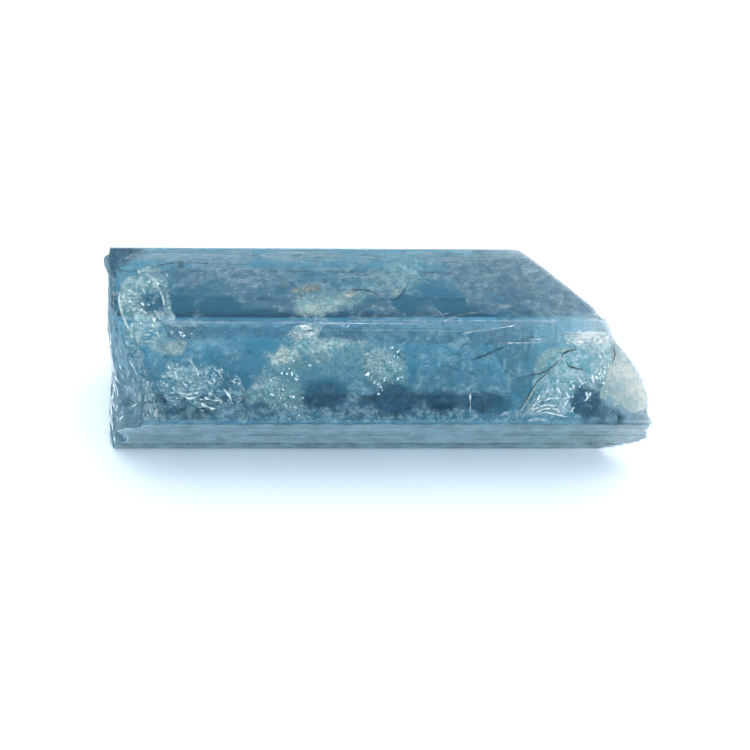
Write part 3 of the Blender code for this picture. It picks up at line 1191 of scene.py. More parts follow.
@dataclass(frozen=True)
class SurfaceHaze:
    """The thin milky bloom just under the faces, with clear windows in it; the grey film low on the front
    is also painted shade, and the lilac film on the top front edge is also painted sheen.
    """

    form: PrismForm
    veil: VeilFinish = VeilFinish(
        "milky_veil", pale=(0.62, 0.73, 0.77), deep=(0.11, 0.25, 0.34), cover=0.7, most=0.62,
        cloud=(2.2, 1.3, 1.3), edge=0.15, grain=(0.3, 0.18, 0.18), grainy=0.45, web=0.5,
        web_size=(1.7, 1.2, 1.2), web_width=0.09, seed=8.0,
    )
    windows: tuple[Patch, ...] = (
        Patch(183, 304, 11, 14, -1.3), Patch(200, 293, 9, 6, -1.0), Patch(221, 309, 16, 11, -1.4),
        Patch(264, 316, 26, 5, -1.4), Patch(408, 302, 14, 8, -1.1), Patch(452, 303, 14, 10, -1.1),
        Patch(478, 314, 20, 4, -1.0), Patch(118, 253, 10, 6, -1.0, -20), Patch(338, 318, 9, 4, -1.4),
        Patch(430, 290, 14, 8, -0.6), Patch(500, 298, 14, 5, -0.5), Patch(560, 262, 12, 8, -0.7),
    )
    thick: tuple[Patch, ...] = (
        Patch(200, 256, 62, 5, 0.6), Patch(305, 255, 36, 5, 0.6), Patch(230, 280, 60, 12, 0.2),
        Patch(432, 257, 9, 7, 0.8), Patch(463, 261, 14, 6, 0.5), Patch(520, 285, 60, 26, 0.15),
        Patch(585, 300, 30, 20, 0.1), Patch(145, 295, 20, 26, -0.5), Patch(325, 304, 36, 12, -0.4),
    )
    aqua: VeilFinish = VeilFinish(
        "aqua_veil", pale=(0.52, 0.76, 0.84), deep=(0.08, 0.28, 0.4), cover=0.75, most=0.56,
        cloud=(0.9, 1.6, 1.6), grain=(0.3, 0.2, 0.2), grainy=0.4, web=0.2, web_size=(1.6, 1.1, 1.1),
        seed=18.0,
    )
    # Haze and painted shade: this dark grey film darkens the front lower face, which looks dark where it
    # mirrors the shaded table under the crystal.
    grey: VeilFinish = VeilFinish(
        "grey_haze_and_painted_shade", pale=(0.22, 0.44, 0.5), deep=(0.03, 0.15, 0.21), cover=0.95, most=0.95,
        mottle=(1.4, 1.6, 1.6), cloud=(1.6, 0.9, 0.9), edge=0.25, grain=(0.5, 0.25, 0.25), grainy=0.2,
        seed=28.0,
    )
    rear: VeilFinish = VeilFinish(
        "rear_veil", pale=(0.56, 0.7, 0.76), deep=(0.1, 0.28, 0.36), cover=0.6, most=0.6,
        cloud=(1.6, 1.3, 1.3), grain=0.25, grainy=0.5, web=0.6, web_size=(2.2, 1.5, 1.5), seed=61.0,
    )
    banded: VeilFinish = VeilFinish(
        "banded_veil", pale=(0.66, 0.78, 0.8), deep=(0.16, 0.3, 0.38), cover=0.75, most=0.62,
        cloud=(3.5, 0.3, 0.3), grain=(0.9, 0.1, 0.1), grainy=0.4, mottle=(2.5, 0.2, 0.2), seed=71.0,
    )
    # Haze and painted sheen: this lilac film lightens the narrow facet along the top front edge, which
    # looks light where it mirrors the soft box.
    lilac: VeilFinish = VeilFinish(
        "lilac_haze_and_painted_sheen", pale=(0.56, 0.62, 0.72), deep=(0.22, 0.32, 0.42), cover=0.85, most=0.6,
        cloud=(3.0, 0.5, 0.5), grain=(0.8, 0.12, 0.12), grainy=0.3, seed=38.0,
    )
    sheets: tuple[Film, ...] = (
        Film(
            "haze_top", Side.TOP, veil,
            ((111, 248), (576, 251), (612, 276), (652, 324), (330, 322), (118, 321)), depth=0.12,
            wobble=0.0, soft=2.5, cell=2.6, base=0.8, patches=windows + thick,
        ),
        Film(
            "haze_front", Side.FRONT_UPPER, aqua,
            ((128, 322), (560, 324), (606, 340), (622, 427), (134, 427)), depth=0.12, wobble=0.0,
            soft=3.0, cell=2.6, base=0.9,
            patches=(Patch(392, 399, 18, 15, -0.9), Patch(325, 393, 18, 14, -0.7),
                     Patch(356, 394, 8, 12, 0.3), Patch(421, 408, 8, 10, 0.3),
                     Patch(336, 327, 9, 8, -0.6), Patch(440, 402, 40, 12, -0.4),
                     Patch(490, 405, 20, 10, -0.7), Patch(588, 402, 10, 16, -0.4),
                     Patch(203, 386, 42, 22, -1.0), Patch(300, 350, 50, 26, -0.6),
                     Patch(282, 394, 28, 20, -0.5), Patch(388, 368, 24, 22, -0.8),
                     Patch(568, 388, 32, 28, -0.9), Patch(600, 350, 14, 30, -0.7),
                     Patch(562, 358, 36, 14, -0.8), Patch(350, 414, 40, 8, 0.5),
                     Patch(455, 415, 60, 6, 0.5), Patch(260, 415, 60, 7, 0.4),
                     Patch(430, 350, 50, 14, 0.1), Patch(330, 388, 90, 5, 0.15),
                     Patch(450, 388, 50, 5, 0.25), Patch(215, 330, 70, 5, -0.2),
                     Patch(255, 345, 12, 9, -0.3), Patch(345, 335, 20, 5, -0.3)),
        ),
        # Haze and painted shade on the front lower face; the patch at its far right darkens that end more.
        Film(
            "haze_low", Side.FRONT_LOWER, grey,
            ((112, 415), (650, 415), (668, 430), (650, 452), (106, 452)), depth=0.1, wobble=0.0, soft=1.5,
            base=1.05, patches=(Patch(600, 436, 60, 16, 0.5),),
        ),
        Film(
            "haze_band", Side.TOP, banded, ((136, 248), (530, 250), (548, 263), (136, 263)), depth=0.09,
            wobble=0.0, soft=2.5, seed=71.0,
            patches=(Patch(258, 255, 6, 9, -0.9), Patch(400, 256, 20, 8, -0.3),
                     Patch(126, 256, 12, 10, -0.9)),
        ),
        Film(
            "haze_back", Side.BACK_UPPER, rear, ((112, 249), (578, 252), (610, 278), (112, 276)),
            depth=-0.15, wobble=0.05, soft=2.0, cell=1.4, base=0.75, seed=61.0,
            patches=(Patch(180, 262, 40, 9, 0.5), Patch(330, 260, 40, 10, 0.6),
                     Patch(470, 262, 50, 9, 0.5), Patch(255, 262, 30, 8, -0.3),
                     Patch(400, 262, 26, 8, -0.4)),
        ),
        # Lilac haze with painted sheen along the top front edge facet.
        Film(
            "haze_edge", Side.FRONT_UPPER, lilac,
            ((150, 319.5), (400, 320), (560, 319), (560, 329), (400, 328), (150, 326.5)), depth=0.3,
            wobble=0.0, soft=1.5, cell=1.4, base=0.9,
        ),
    )

    def build(self) -> None:
        """Make the sheets of haze."""
        build_all(self.form, *self.sheets)


@dataclass(frozen=True)
class LeftLobe:
    """The shell-shaped fracture behind the left end, with its bright rim and a lump of cream mineral."""

    form: PrismForm
    shell: VeilFinish = VeilFinish(
        "shell_veil", pale=(0.95, 1.0, 0.94), deep=(0.22, 0.48, 0.5), cover=0.74, most=0.94, cloud=0.9,
        edge=0.16, grain=0.18, grainy=0.45, seed=2.0,
    )
    cream: VeilFinish = VeilFinish(
        "cream_lump", pale=(1.0, 0.98, 0.86), deep=(0.6, 0.68, 0.54), cover=0.8, most=0.95, cloud=0.7,
        edge=0.22, grain=0.18, grainy=0.3, seed=4.0,
    )
    bright: FlakeFinish = FlakeFinish(
        "bright_rim", colour=(0.97, 1.0, 0.96), roughness=0.35, metallic=0.5,
    )
    sheets: tuple[Film, ...] = (
        Film(
            "shell_top", Side.TOP, shell,
            ((146, 262), (163, 264), (170, 285), (174, 305), (180, 322), (122, 322), (117, 308),
             (115, 296), (118, 282), (130, 270)),
            depth=0.5, lean=(0.6, 0.6), soft=5.0, cell=1.4, seed=1.0,
            patches=(Patch(153, 303, 12, 11, -0.5), Patch(125, 298, 7, 20, 0.35),
                     Patch(148, 272, 14, 6, 0.15)),
        ),
        Film(
            "shell_front", Side.FRONT_UPPER, shell,
            ((119, 318), (212, 318), (211, 334), (202, 346), (190, 354), (174, 361), (158, 359),
             (146, 353), (137, 349), (130, 338), (123, 328)),
            depth=0.5, lean=(1.2, 0.6), base=0.98, cell=1.4, seed=2.0,
            patches=(Patch(137, 330, 9, 12, 0.3), Patch(150, 333, 8, 5, -0.4), Patch(190, 328, 9, 7, 0.3),
                     Patch(194, 342, 8, 5, -0.3)),
        ),
        Film(
            "cream_lobe", Side.FRONT_UPPER, cream,
            ((155, 341), (170, 337), (186, 335), (193, 342), (188, 352), (174, 360), (162, 355)),
            depth=0.35, base=1.1, cell=1.3, seed=3.0,
        ),
    )
    strands: tuple[Strands, ...] = (
        Strands(
            "lobe_rim", Side.TOP, bright,
            (((120, 292, 0.25), (119, 300, 0.25), (120.5, 309), (123.5, 319)),
             ((157.5, 286), (160.5, 292), (163, 299), (164.2, 306)), ((154, 310), (157, 314), (160, 319)),
             ((142.8, 289), (145.2, 294)), ((143, 310), (146, 314)),
             ((138, 270, 0.2), (139.5, 273.5, 0.2)), ((165, 274, 0.2), (168, 276, 0.2))),
            radius=0.1, flat=0.25,
        ),
        Strands(
            "lobe_rim_low", Side.FRONT_UPPER, bright,
            (((123.5, 318), (126.5, 325), (131, 331.5), (133.5, 333)),
             ((134, 332), (137, 337), (141, 344)), ((142, 342), (147, 341), (155, 341.3)),
             ((156.5, 331), (158.5, 335), (160, 338)), ((171, 331), (172.5, 334)),
             ((177, 344), (180, 348)), ((144, 335), (150, 334))),
            depth=0.2, radius=0.11, flat=0.25,
        ),
    )
    flakes: tuple[Flakes, ...] = (
        Flakes(
            "lobe_flakes", Side.FRONT_UPPER, FlakeFinish("lobe_flake"),
            ((135, 322), (196, 322), (196, 345), (170, 352), (145, 345)), count=75, depth=(0.06, 0.4),
            size=(0.02, 0.14), seed=21,
        ),
        Flakes(
            "lobe_flakes_top", Side.TOP, FlakeFinish("lobe_flake_top"),
            ((128, 280), (166, 280), (172, 319), (130, 319)), count=50, depth=(0.06, 0.4),
            size=(0.02, 0.14), along=(0.4, 1.0), seed=22,
        ),
    )

    def build(self) -> None:
        """Make the shell in two leaves, then its rim and its flashes."""
        build_all(self.form, *self.sheets, *self.strands, *self.flakes)


@dataclass(frozen=True)
class MiddleCloud:
    """The cloud of bubbles and hairline cracks in the middle of the crystal, and its stains."""

    form: PrismForm
    veil: VeilFinish = VeilFinish(
        "cloud_veil", pale=(1.0, 1.0, 0.95), deep=(0.3, 0.58, 0.62), cover=0.62, most=0.97, cloud=1.0,
        edge=0.3, grain=0.18, grainy=0.5, web=0.7, web_size=0.9, warm=(0.88, 0.92, 0.76), seed=5.0,
    )
    soft: VeilFinish = VeilFinish(
        "cloud_soft", pale=(0.74, 0.93, 0.9), deep=(0.2, 0.46, 0.5), cover=0.75, most=0.8, cloud=1.2,
        edge=0.35, grain=0.2, grainy=0.45, web=0.5, web_size=1.0, warm=(0.5, 0.64, 0.5), seed=7.0,
    )
    black: StainFinish = StainFinish("black_thread")
    ochre: VeilFinish = VeilFinish(
        "ochre_veil", pale=(0.66, 0.6, 0.46), deep=(0.14, 0.11, 0.06), cover=0.6, most=0.9, cloud=0.45,
        grain=0.15, grainy=0.3, mottle=0.3, seed=51.0,
    )
    cream_veil: VeilFinish = VeilFinish(
        "cream_veil", pale=(1.0, 0.95, 0.82), deep=(0.6, 0.66, 0.56), cover=0.6, most=0.8, cloud=0.5,
        edge=0.3, grain=0.15, grainy=0.4, mottle=0.3, seed=52.0,
    )
    white: FlakeFinish = FlakeFinish("white_spark", roughness=0.1)
    spark: FlakeFinish = FlakeFinish("cloud_flake")
    sheets: tuple[Film, ...] = (
        Film(
            "cloud_top_soft", Side.TOP, soft,
            ((284, 286), (300, 276), (330, 279), (352, 282), (372, 268), (366, 250), (420, 250),
             (440, 275), (412, 300), (386, 303), (360, 312), (330, 322), (288, 322)),
            depth=0.5, wobble=0.1, soft=18.0, base=1.4, seed=5.0,
            patches=(Patch(372, 275, 9, 6, 0.4), Patch(300, 300, 12, 14, 0.3),
                     Patch(360, 314, 12, 5, -0.5)),
            cell=2.2,
        ),
        Film(
            "cloud_top", Side.TOP, veil,
            ((286, 296), (300, 290), (330, 292), (352, 292), (366, 296), (350, 308), (326, 322),
             (288, 322)),
            depth=0.3, wobble=0.1, soft=14.0, base=1.45, seed=3.0,
            patches=(Patch(303, 318, 9, 8, 0.7), Patch(340, 299, 10, 5, 0.3),
                     Patch(318, 308, 10, 5, -0.3)),
        ),
        Film(
            "cloud_front", Side.FRONT_UPPER, veil,
            ((284, 314), (318, 314), (334, 318), (354, 324), (378, 332), (384, 348), (360, 362),
             (346, 364), (340, 384), (328, 368), (308, 362), (292, 378), (266, 380), (246, 362),
             (264, 346), (282, 338)),
            depth=0.5, lean=(0.6, 1.0), soft=20.0, base=1.35, seed=4.0,
            patches=(Patch(303, 326, 9, 12, 0.8), Patch(284, 355, 10, 8, 0.3),
                     Patch(338, 324, 8, 10, -0.9), Patch(320, 345, 20, 7, 0.2),
                     Patch(324, 328, 4, 8, 0.4)),
        ),
        Film(
            "cloud_low_left", Side.FRONT_UPPER, veil,
            ((240, 384), (256, 366), (292, 370), (312, 384), (314, 410), (306, 424), (280, 424),
             (258, 410), (242, 400)),
            lean=(0.5, 1.5), soft=22.0, base=1.35, seed=6.0,
            patches=(Patch(257, 388, 10, 8, 0.2), Patch(300, 396, 8, 12, 0.3)),
        ),
        Film(
            "cloud_right", Side.FRONT_UPPER, veil,
            ((356, 350), (374, 338), (400, 340), (416, 358), (414, 382), (400, 394), (382, 398),
             (368, 406), (360, 388), (354, 368)),
            depth=0.9, lean=(0.6, 1.5), soft=20.0, base=1.3, seed=7.0,
            patches=(Patch(367, 358, 5, 8, 0.5), Patch(390, 364, 12, 10, 0.2)),
        ),
        Film(
            "cloud_front_soft", Side.FRONT_UPPER, soft,
            ((230, 392), (262, 352), (288, 320), (345, 320), (400, 336), (420, 362), (412, 392),
             (372, 412), (350, 380), (312, 384), (312, 420), (240, 420)),
            depth=0.9, soft=24.0, base=1.25, seed=8.0,
            patches=(Patch(392, 402, 16, 12, -0.9), Patch(325, 395, 18, 14, -0.8),
                     Patch(340, 362, 10, 10, -0.3)),
            cell=2.2,
        ),
        Film(
            "ochre_spots", Side.TOP, ochre, ((272, 276), (328, 278), (330, 300), (274, 300)), depth=0.09,
            wobble=0.02, soft=2.0, base=-0.3, cell=1.1, seed=51.0,
            patches=(Patch(310, 288.5, 13, 5, 1.35, -4), Patch(285, 284, 7, 4, 1.25, 10),
                     Patch(294, 291, 5, 4, 1.0)),
        ),
        Film(
            "cream_spots", Side.TOP, cream_veil, ((328, 249), (480, 250), (480, 320), (328, 320)),
            depth=0.08, wobble=0.02, soft=2.0, base=-0.4, cell=1.1, seed=52.0,
            patches=(Patch(341, 299, 12, 7, 1.15, -15), Patch(396, 292.5, 5.5, 5, 1.3),
                     Patch(371, 276, 3, 3, 1.2), Patch(428, 256, 10, 6, 1.0),
                     Patch(462, 262, 12, 5, 0.95), Patch(352, 293, 7, 4, 1.0, -10)),
        ),
    )
    strands: tuple[Strands, ...] = (
        Strands(
            "dark_threads_top", Side.TOP, black,
            (((342, 293.5, 0.08), (349, 293, 0.08), (356, 290.4, 0.08), (364, 290, 0.08),
              (372, 291.6, 0.08), (378, 295, 0.08), (383.5, 299, 0.08)),
             ((348, 294), (352, 292), (356, 290.4)),
             ((292, 283, 0.5), (298, 292, 0.5), (304, 299, 0.5), (311, 306, 0.5), (321, 310, 0.5)),
             ((409, 282, 0.5), (405, 289, 0.5), (401, 295, 0.5), (393, 301, 0.5)),
             ((150, 268), (160, 265), (172, 263), (182, 262)),
             ((182, 262.5, 0.2), (215, 263.5, 0.2), (248, 264.5, 0.2)),
             ((324, 279), (327, 284), (328, 287))),
            radius=0.06,
        ),
        Strands(
            "dark_threads_front", Side.FRONT_UPPER, black,
            (((354, 361), (358, 360), (362, 356)), ((397, 351), (400, 356), (406, 359)),
             ((276, 333, 0.3), (281, 334, 0.3), (284, 336, 0.3)), ((413, 358, 0.3), (417, 357, 0.3)),
             ((450, 378, 0.6), (454, 380, 0.6))),
            depth=0.4, radius=0.05,
        ),
    )
    lumps: tuple[Grains, ...] = (
        # Three of these lumps, on the top edge at 366, 479 and 485 across, are painted glints on that edge;
        # the other three are white grains inside.
        Grains(
            "sparks_top", Side.TOP, white,
            ((301.5, 312, 0.1, 0.07), (351, 289, 0.16, 0.1), (404, 314, 0.15, 0.08),
             (485, 254, 0.16, 0.09), (479, 253, 0.12, 0.06), (366, 250, 0.18, 0.1)),
        ),
        Grains(
            "sparks_front", Side.FRONT_UPPER, white,
            ((284, 356, 0.2, 0.17), (289.5, 368, 0.2, 0.16), (300, 415, 0.2, 0.2), (302, 405, 0.2, 0.12),
             (367, 357, 0.2, 0.14), (374, 369, 0.2, 0.1), (393, 383, 0.2, 0.12), (493, 356.8, 0.2, 0.09),
             (479.5, 341, 0.2, 0.07), (328, 361, 0.2, 0.09), (171, 374, 0.2, 0.13), (175, 368, 0.2, 0.12),
             (221, 374, 0.2, 0.11), (195, 379, 0.2, 0.1), (346, 356, 0.2, 0.1)),
        ),
    )
    flakes: tuple[Flakes, ...] = (
        Flakes(
            "cloud_flakes", Side.FRONT_UPPER, spark,
            ((262, 352), (288, 322), (345, 322), (378, 340), (372, 356), (330, 362), (284, 374),
             (262, 370)),
            count=90, seed=12,
        ),
        Flakes(
            "cloud_flakes_low", Side.FRONT_UPPER, spark, ((250, 376), (300, 372), (312, 420), (252, 420)),
            count=110, size=(0.02, 0.13), along=(1.0, 0.8), seed=13,
        ),
        Flakes(
            "cloud_flakes_right", Side.FRONT_UPPER, spark,
            ((362, 350), (400, 346), (410, 376), (402, 392), (376, 402), (366, 396)), count=80,
            size=(0.02, 0.14), along=(1.0, -0.5), seed=14,
        ),
    )

    def build(self) -> None:
        """Make the sheets of the cloud, its threads and its flashes."""
        build_all(self.form, *self.sheets, *self.strands, *self.lumps, *self.flakes)


@dataclass(frozen=True)
class SparklePatch:
    """The patch of curved bright cracks low on the left of the front."""

    form: PrismForm
    veil: VeilFinish = VeilFinish(
        "patch_veil", pale=(0.88, 1.0, 1.0), deep=(0.14, 0.42, 0.52), cover=0.72, most=0.88,
        cloud=(1.0, 0.5, 0.5), grain=(0.3, 0.15, 0.15), grainy=0.5, seed=9.0,
    )
    bright: FlakeFinish = FlakeFinish("crescent", colour=(0.9, 1.0, 1.0), roughness=0.25, metallic=0.4)
    reach: Outline = (
        (152, 374), (166, 360), (205, 362), (238, 376), (248, 394), (236, 412), (190, 415), (160, 396),
    )
    tries: int = 110
    tries_seed: int = 5
    middle: tuple[float, float] = (200, 386)
    scatter: tuple[float, float] = (24, 13)
    shortest: float = 1.0
    longer_by: float = 3.0
    turn: float = 35
    turn_scatter: float = 25
    shallowest: float = 0.1
    deeper_by: float = 0.4
    bow_scatter: float = 0.9
    sheet: Film = Film(
        "patch_sheet", Side.FRONT_UPPER, veil,
        ((142, 372), (158, 350), (202, 352), (242, 366), (258, 392), (248, 420), (192, 424), (160, 412),
         (148, 394)),
        depth=0.8, lean=(0.8, 1.0), soft=20.0, base=1.15, seed=9.0,
    )
    bands: Strands = Strands(
        "patch_bands", Side.FRONT_UPPER, bright,
        (((177, 391.5), (185, 394), (192, 393.5), (199, 392)), ((180, 395), (188, 397.5), (197, 397)),
         ((201, 403), (208, 407), (217, 409)), ((204, 397), (212, 400), (220, 400)),
         ((224, 389), (229, 395), (232, 403)), ((167, 363), (170, 369), (172, 376)),
         ((190, 359), (194, 366)), ((196, 368), (199, 376)), ((175, 371), (177, 378)),
         ((219, 371), (222, 377)), ((208, 381), (213, 385))),
        radius=0.16, ragged=1.2, flat=0.2,
    )
    flakes: Flakes = Flakes(
        "patch_flakes", Side.FRONT_UPPER, bright, reach, count=190, depth=(0.08, 0.5),
        along=(1.0, 0.35), seed=11,
    )

    def build(self) -> None:
        """Make the veil and the cracks in it."""
        build_all(self.form, self.sheet, self.crescents(), self.bands, self.flakes)

    def crescents(self) -> Strands:
        """Little bowed cracks, strewn round the middle of the patch but not past its reach."""
        lines = []
        rng = np.random.default_rng(self.tries_seed)
        for _ in range(self.tries):
            across = self.middle[0] + self.scatter[0] * rng.normal()
            down = self.middle[1] + self.scatter[1] * rng.normal()
            if depth_inside(np.array([(across, down)]), np.array(self.reach))[0] < 0:
                continue
            length = self.shortest + self.longer_by * rng.random() ** 2
            turn = math.radians(self.turn + self.turn_scatter * rng.normal())
            dx, dy = length * math.cos(turn), length * math.sin(turn)
            deep = self.shallowest + self.deeper_by * rng.random()
            bow = self.bow_scatter * rng.normal()
            middle = (across + bow * dy / length, down - bow, deep)
            lines.append(((across - dx, down - dy, deep), middle, (across + dx, down + dy, deep)))
        return Strands(
            "crescents", Side.FRONT_UPPER, self.bright, tuple(lines), radius=0.045, ragged=1.1, flat=0.3
        )


@dataclass(frozen=True)
class RightFan:
    """The fracture that fans out behind the right end, the crazed rim above it, and a painted highlight
    band on that rim.
    """

    form: PrismForm
    fan: VeilFinish = VeilFinish(
        "fan_veil", pale=(0.95, 1.0, 1.0), deep=(0.24, 0.54, 0.6), cover=0.85, most=0.95,
        cloud=(1.1, 0.8, 0.8), edge=0.18, grain=0.18, grainy=0.35, seed=10.0,
    )
    olive: VeilFinish = VeilFinish(
        "olive_veil", pale=(0.92, 0.97, 0.78), deep=(0.4, 0.56, 0.5), cover=0.8, most=0.8, cloud=0.8,
        grain=0.17, grainy=0.45, seed=13.0,
    )
    rim: VeilFinish = VeilFinish(
        "rim_veil", pale=(1.0, 1.0, 0.96), deep=(0.4, 0.64, 0.66), cover=0.68, most=0.95, cloud=0.45,
        edge=0.12, grain=0.15, grainy=0.6, seed=15.0,
    )
    chip: VeilFinish = VeilFinish(
        "chip_veil", pale=(0.93, 0.87, 0.77), deep=(0.46, 0.56, 0.56), cover=0.95, most=0.9, mottle=1.8,
        cloud=0.8, grain=0.3, grainy=0.15, seed=45.0,
    )
    bright: FlakeFinish = FlakeFinish("blade", colour=(1.0, 1.0, 1.0), roughness=0.25, metallic=0.5)
    crack: StainFinish = StainFinish("dark_crack")
    sheets: tuple[Film, ...] = (
        Film(
            "fan_sheet", Side.FRONT_UPPER, fan,
            ((508, 421), (514, 414), (522, 406), (531, 391), (530, 381), (532, 366), (540, 356),
             (556, 350), (580, 346), (600, 345), (612, 352), (606, 380), (600, 400), (590, 418),
             (560, 421)),
            depth=0.8, lean=(-0.3, 0.6), base=1.05, seed=10.0,
            patches=(Patch(584, 402, 12, 16, -1.1), Patch(545, 401, 7, 4, -0.4),
                     Patch(572, 414, 10, 6, -0.6), Patch(556, 364, 40, 16, 0.8, -25),
                     Patch(548, 380, 14, 12, 0.4), Patch(556, 408, 22, 6, 0.3),
                     Patch(575, 420, 20, 3, -0.5), Patch(600, 365, 7, 20, 0.3)),
        ),
        Film(
            "olive_sheet", Side.FRONT_UPPER, olive,
            ((532, 372), (534, 356), (546, 346), (566, 344), (600, 340), (603, 352), (580, 352),
             (562, 358), (550, 368), (542, 376)),
            depth=0.5, soft=8.0, base=1.25, cell=1.5, seed=11.0, patches=(Patch(588, 347, 9, 4, 0.5),),
        ),
        Film(
            # The crazed rim, with painted highlight: its thick patch at 588 across and 337 down lays extra
            # white under the painted highlight band.
            "rim_sheet_and_highlight", Side.FRONT_UPPER, rim,
            ((560, 330), (608, 330), (616, 345), (618, 372), (612, 392), (602, 392), (596, 372),
             (586, 352), (560, 345)),
            depth=0.25, soft=4.0, base=0.9, cell=1.4, seed=12.0,
            patches=(Patch(588, 337, 18, 6, 0.9), Patch(605, 360, 6, 20, 0.4)),
        ),
        Film(
            "chip_sheet", Side.FRONT_UPPER, chip,
            ((612, 338), (624, 350), (634, 366), (644, 384), (652, 400), (650, 412), (640, 411),
             (633, 414), (626, 410), (621, 405), (617, 406), (613, 408), (612, 399), (608, 397),
             (606, 403), (603, 399), (600, 402), (599, 392), (606, 374), (611, 360), (609, 346)),
            depth=0.1, wobble=0.05, soft=2.2, cell=1.2, base=1.25, seed=16.0,
            patches=(Patch(628, 392, 6, 7, 0.2), Patch(613, 372, 5, 22, -0.25)),
        ),
    )
    strands: tuple[Strands, ...] = (
        Strands(
            "fan_blades", Side.FRONT_UPPER, bright,
            (((500, 416), (505, 413), (511, 411)), ((525, 412), (531, 407), (538, 402)),
             ((528, 414, 0.5), (538, 407, 0.5), (550, 405, 0.5), (556, 406, 0.5)),
             ((528, 420), (536, 418.5), (546, 419)), ((532, 410), (542, 405.5), (551, 404)),
             ((530, 416, 0.3), (540, 410, 0.3), (551, 408, 0.3), (560, 410, 0.3)),
             ((522, 418, 0.3), (528, 411, 0.3), (535, 404, 0.3), (541, 400, 0.3)),
             ((536, 415, 0.3), (545, 412, 0.3), (556, 414, 0.3), (566, 417, 0.3)),
             ((544, 401, 0.3), (550, 398, 0.3), (556, 399, 0.3)), ((562, 408, 0.3), (568, 400, 0.3)),
             ((558, 388, 0.3), (561, 394, 0.3)), ((566, 392, 0.3), (570, 398, 0.3)),
             ((578, 376, 0.3), (582, 383, 0.3)), ((592, 374, 0.3), (594, 384, 0.3)),
             ((536, 401), (540, 395)), ((557, 399), (556, 395)), ((586, 392), (588, 397)),
             ((588, 397), (591, 392)), ((559, 413), (558, 405)), ((570, 412), (574, 407)),
             ((573, 384), (574, 389)), ((548, 394), (550, 392))),
            depth=0.4, radius=0.125, ragged=0.8, flat=0.25,
        ),
        Strands(
            "dashes", Side.FRONT_UPPER, bright,
            (((463, 334), (472, 331.5), (483, 330), (496, 328.6), (514, 325.8)),
             ((497, 342.7), (515, 342.8), (532, 342.7), (545, 341.6)),
             ((526, 339.5, 0.12), (535, 339.2, 0.12), (546, 339, 0.12)),
             ((553.3, 319, 0.1), (553.6, 326, 0.1), (553.4, 334, 0.1)),
             ((461.8, 338, 0.2), (459, 343, 0.2), (457, 348, 0.2)),
             ((470, 386, 0.3), (470.3, 402, 0.3), (470, 420, 0.3)), ((556, 341, 0.12), (560, 340, 0.12)),
             ((566, 343, 0.12), (580, 345, 0.12))),
            depth=0.09, radius=0.075, ragged=1.6, flat=0.2,
        ),
        # Painted highlight: flat white ribbons, not metallic, lay the bright band where the rim near the
        # right end catches the light. The short ribbon at 302 to 312 across is painted with the same white.
        Strands(
            "painted_highlight_band", Side.FRONT_UPPER,
            FlakeFinish("band", colour=(1.0, 1.0, 1.0), roughness=0.5, metallic=0.0),
            (((570, 333.2), (580, 332.9), (590, 333), (598, 333.2), (606, 333)),
             ((570, 335.8), (580, 335.6), (590, 335.8), (600, 336)),
             ((573, 338.4), (582, 338.2), (592, 338.6)), ((576, 341), (584, 341), (593, 341.4)),
             ((594, 342, 0.07), (596, 337, 0.07), (600, 338, 0.07), (600, 342, 0.07), (596, 343.5, 0.07)),
             ((603, 342, 0.07), (604, 337.5, 0.07), (607, 339, 0.07), (606, 343, 0.07)),
             ((302, 330.5), (305.5, 329), (309, 328.4), (312.5, 328.8))),
            depth=0.08, radius=0.17, ragged=0.7, flat=0.12,
        ),
        # Partly growth lines, partly painted highlight: the upper pale line runs along the top front edge,
        # where the edge shows a light line in the light.
        Strands(
            "growth_line_and_edge_highlight", Side.FRONT_UPPER,
            FlakeFinish("pale_line_and_highlight", colour=(0.75, 0.82, 0.92), roughness=0.5, metallic=0.2),
            (((150, 322.6), (240, 322.8), (330, 323.4), (420, 324)),
             ((330, 330.0), (380, 330.4), (430, 330.8), (462, 331.5))),
            depth=0.1, radius=0.03, ragged=0.9,
        ),
        Strands(
            "fan_threads", Side.FRONT_UPPER, crack,
            (((471.5, 360.5, 0.09), (480, 356.8, 0.08), (490, 353, 0.08), (498, 349.6, 0.08),
              (506, 346, 0.08)),
             ((561.6, 358.5), (551.4, 367.4), (542.5, 372.5), (530, 375.2), (516, 379), (508, 385.3),
              (503, 388.5)),
             ((561.6, 358.5), (563, 354), (568, 351.3), (577, 349.5)),
             ((551.4, 367.4), (544, 376), (537, 382), (531, 391.6), (527, 398), (522, 407), (514, 415),
              (505, 421)),
             ((566.7, 362), (569, 366), (576, 368.4), (585, 370)), ((588, 414), (593, 411), (602, 403)),
             ((613, 346, 0.08), (615, 354, 0.08), (612, 363, 0.08))),
            depth=0.5, radius=0.065,
        ),
        Strands(
            "fan_lip", Side.FRONT_UPPER,
            FlakeFinish("pale_lip", colour=(0.92, 0.95, 0.8), roughness=0.5, metallic=0.1),
            (((536, 385), (529, 398), (521, 410), (511, 420)),), depth=0.35, radius=0.1,
        ),
    )
    flakes: tuple[Flakes, ...] = (
        Flakes(
            "fan_flakes", Side.FRONT_UPPER, FlakeFinish("fan_flake"),
            ((524, 418), (534, 396), (560, 380), (598, 372), (600, 400), (585, 418)), count=150,
            depth=(0.08, 0.5), size=(0.015, 0.1), along=(1.0, -0.45), seed=31,
        ),
        Flakes(
            "rim_flakes", Side.FRONT_UPPER, FlakeFinish("rim_flake"),
            ((570, 331), (606, 332), (616, 350), (612, 392), (600, 392), (592, 360), (575, 345)),
            count=150, depth=(0.05, 0.3), along=(0.3, 1.0), seed=32,
        ),
    )
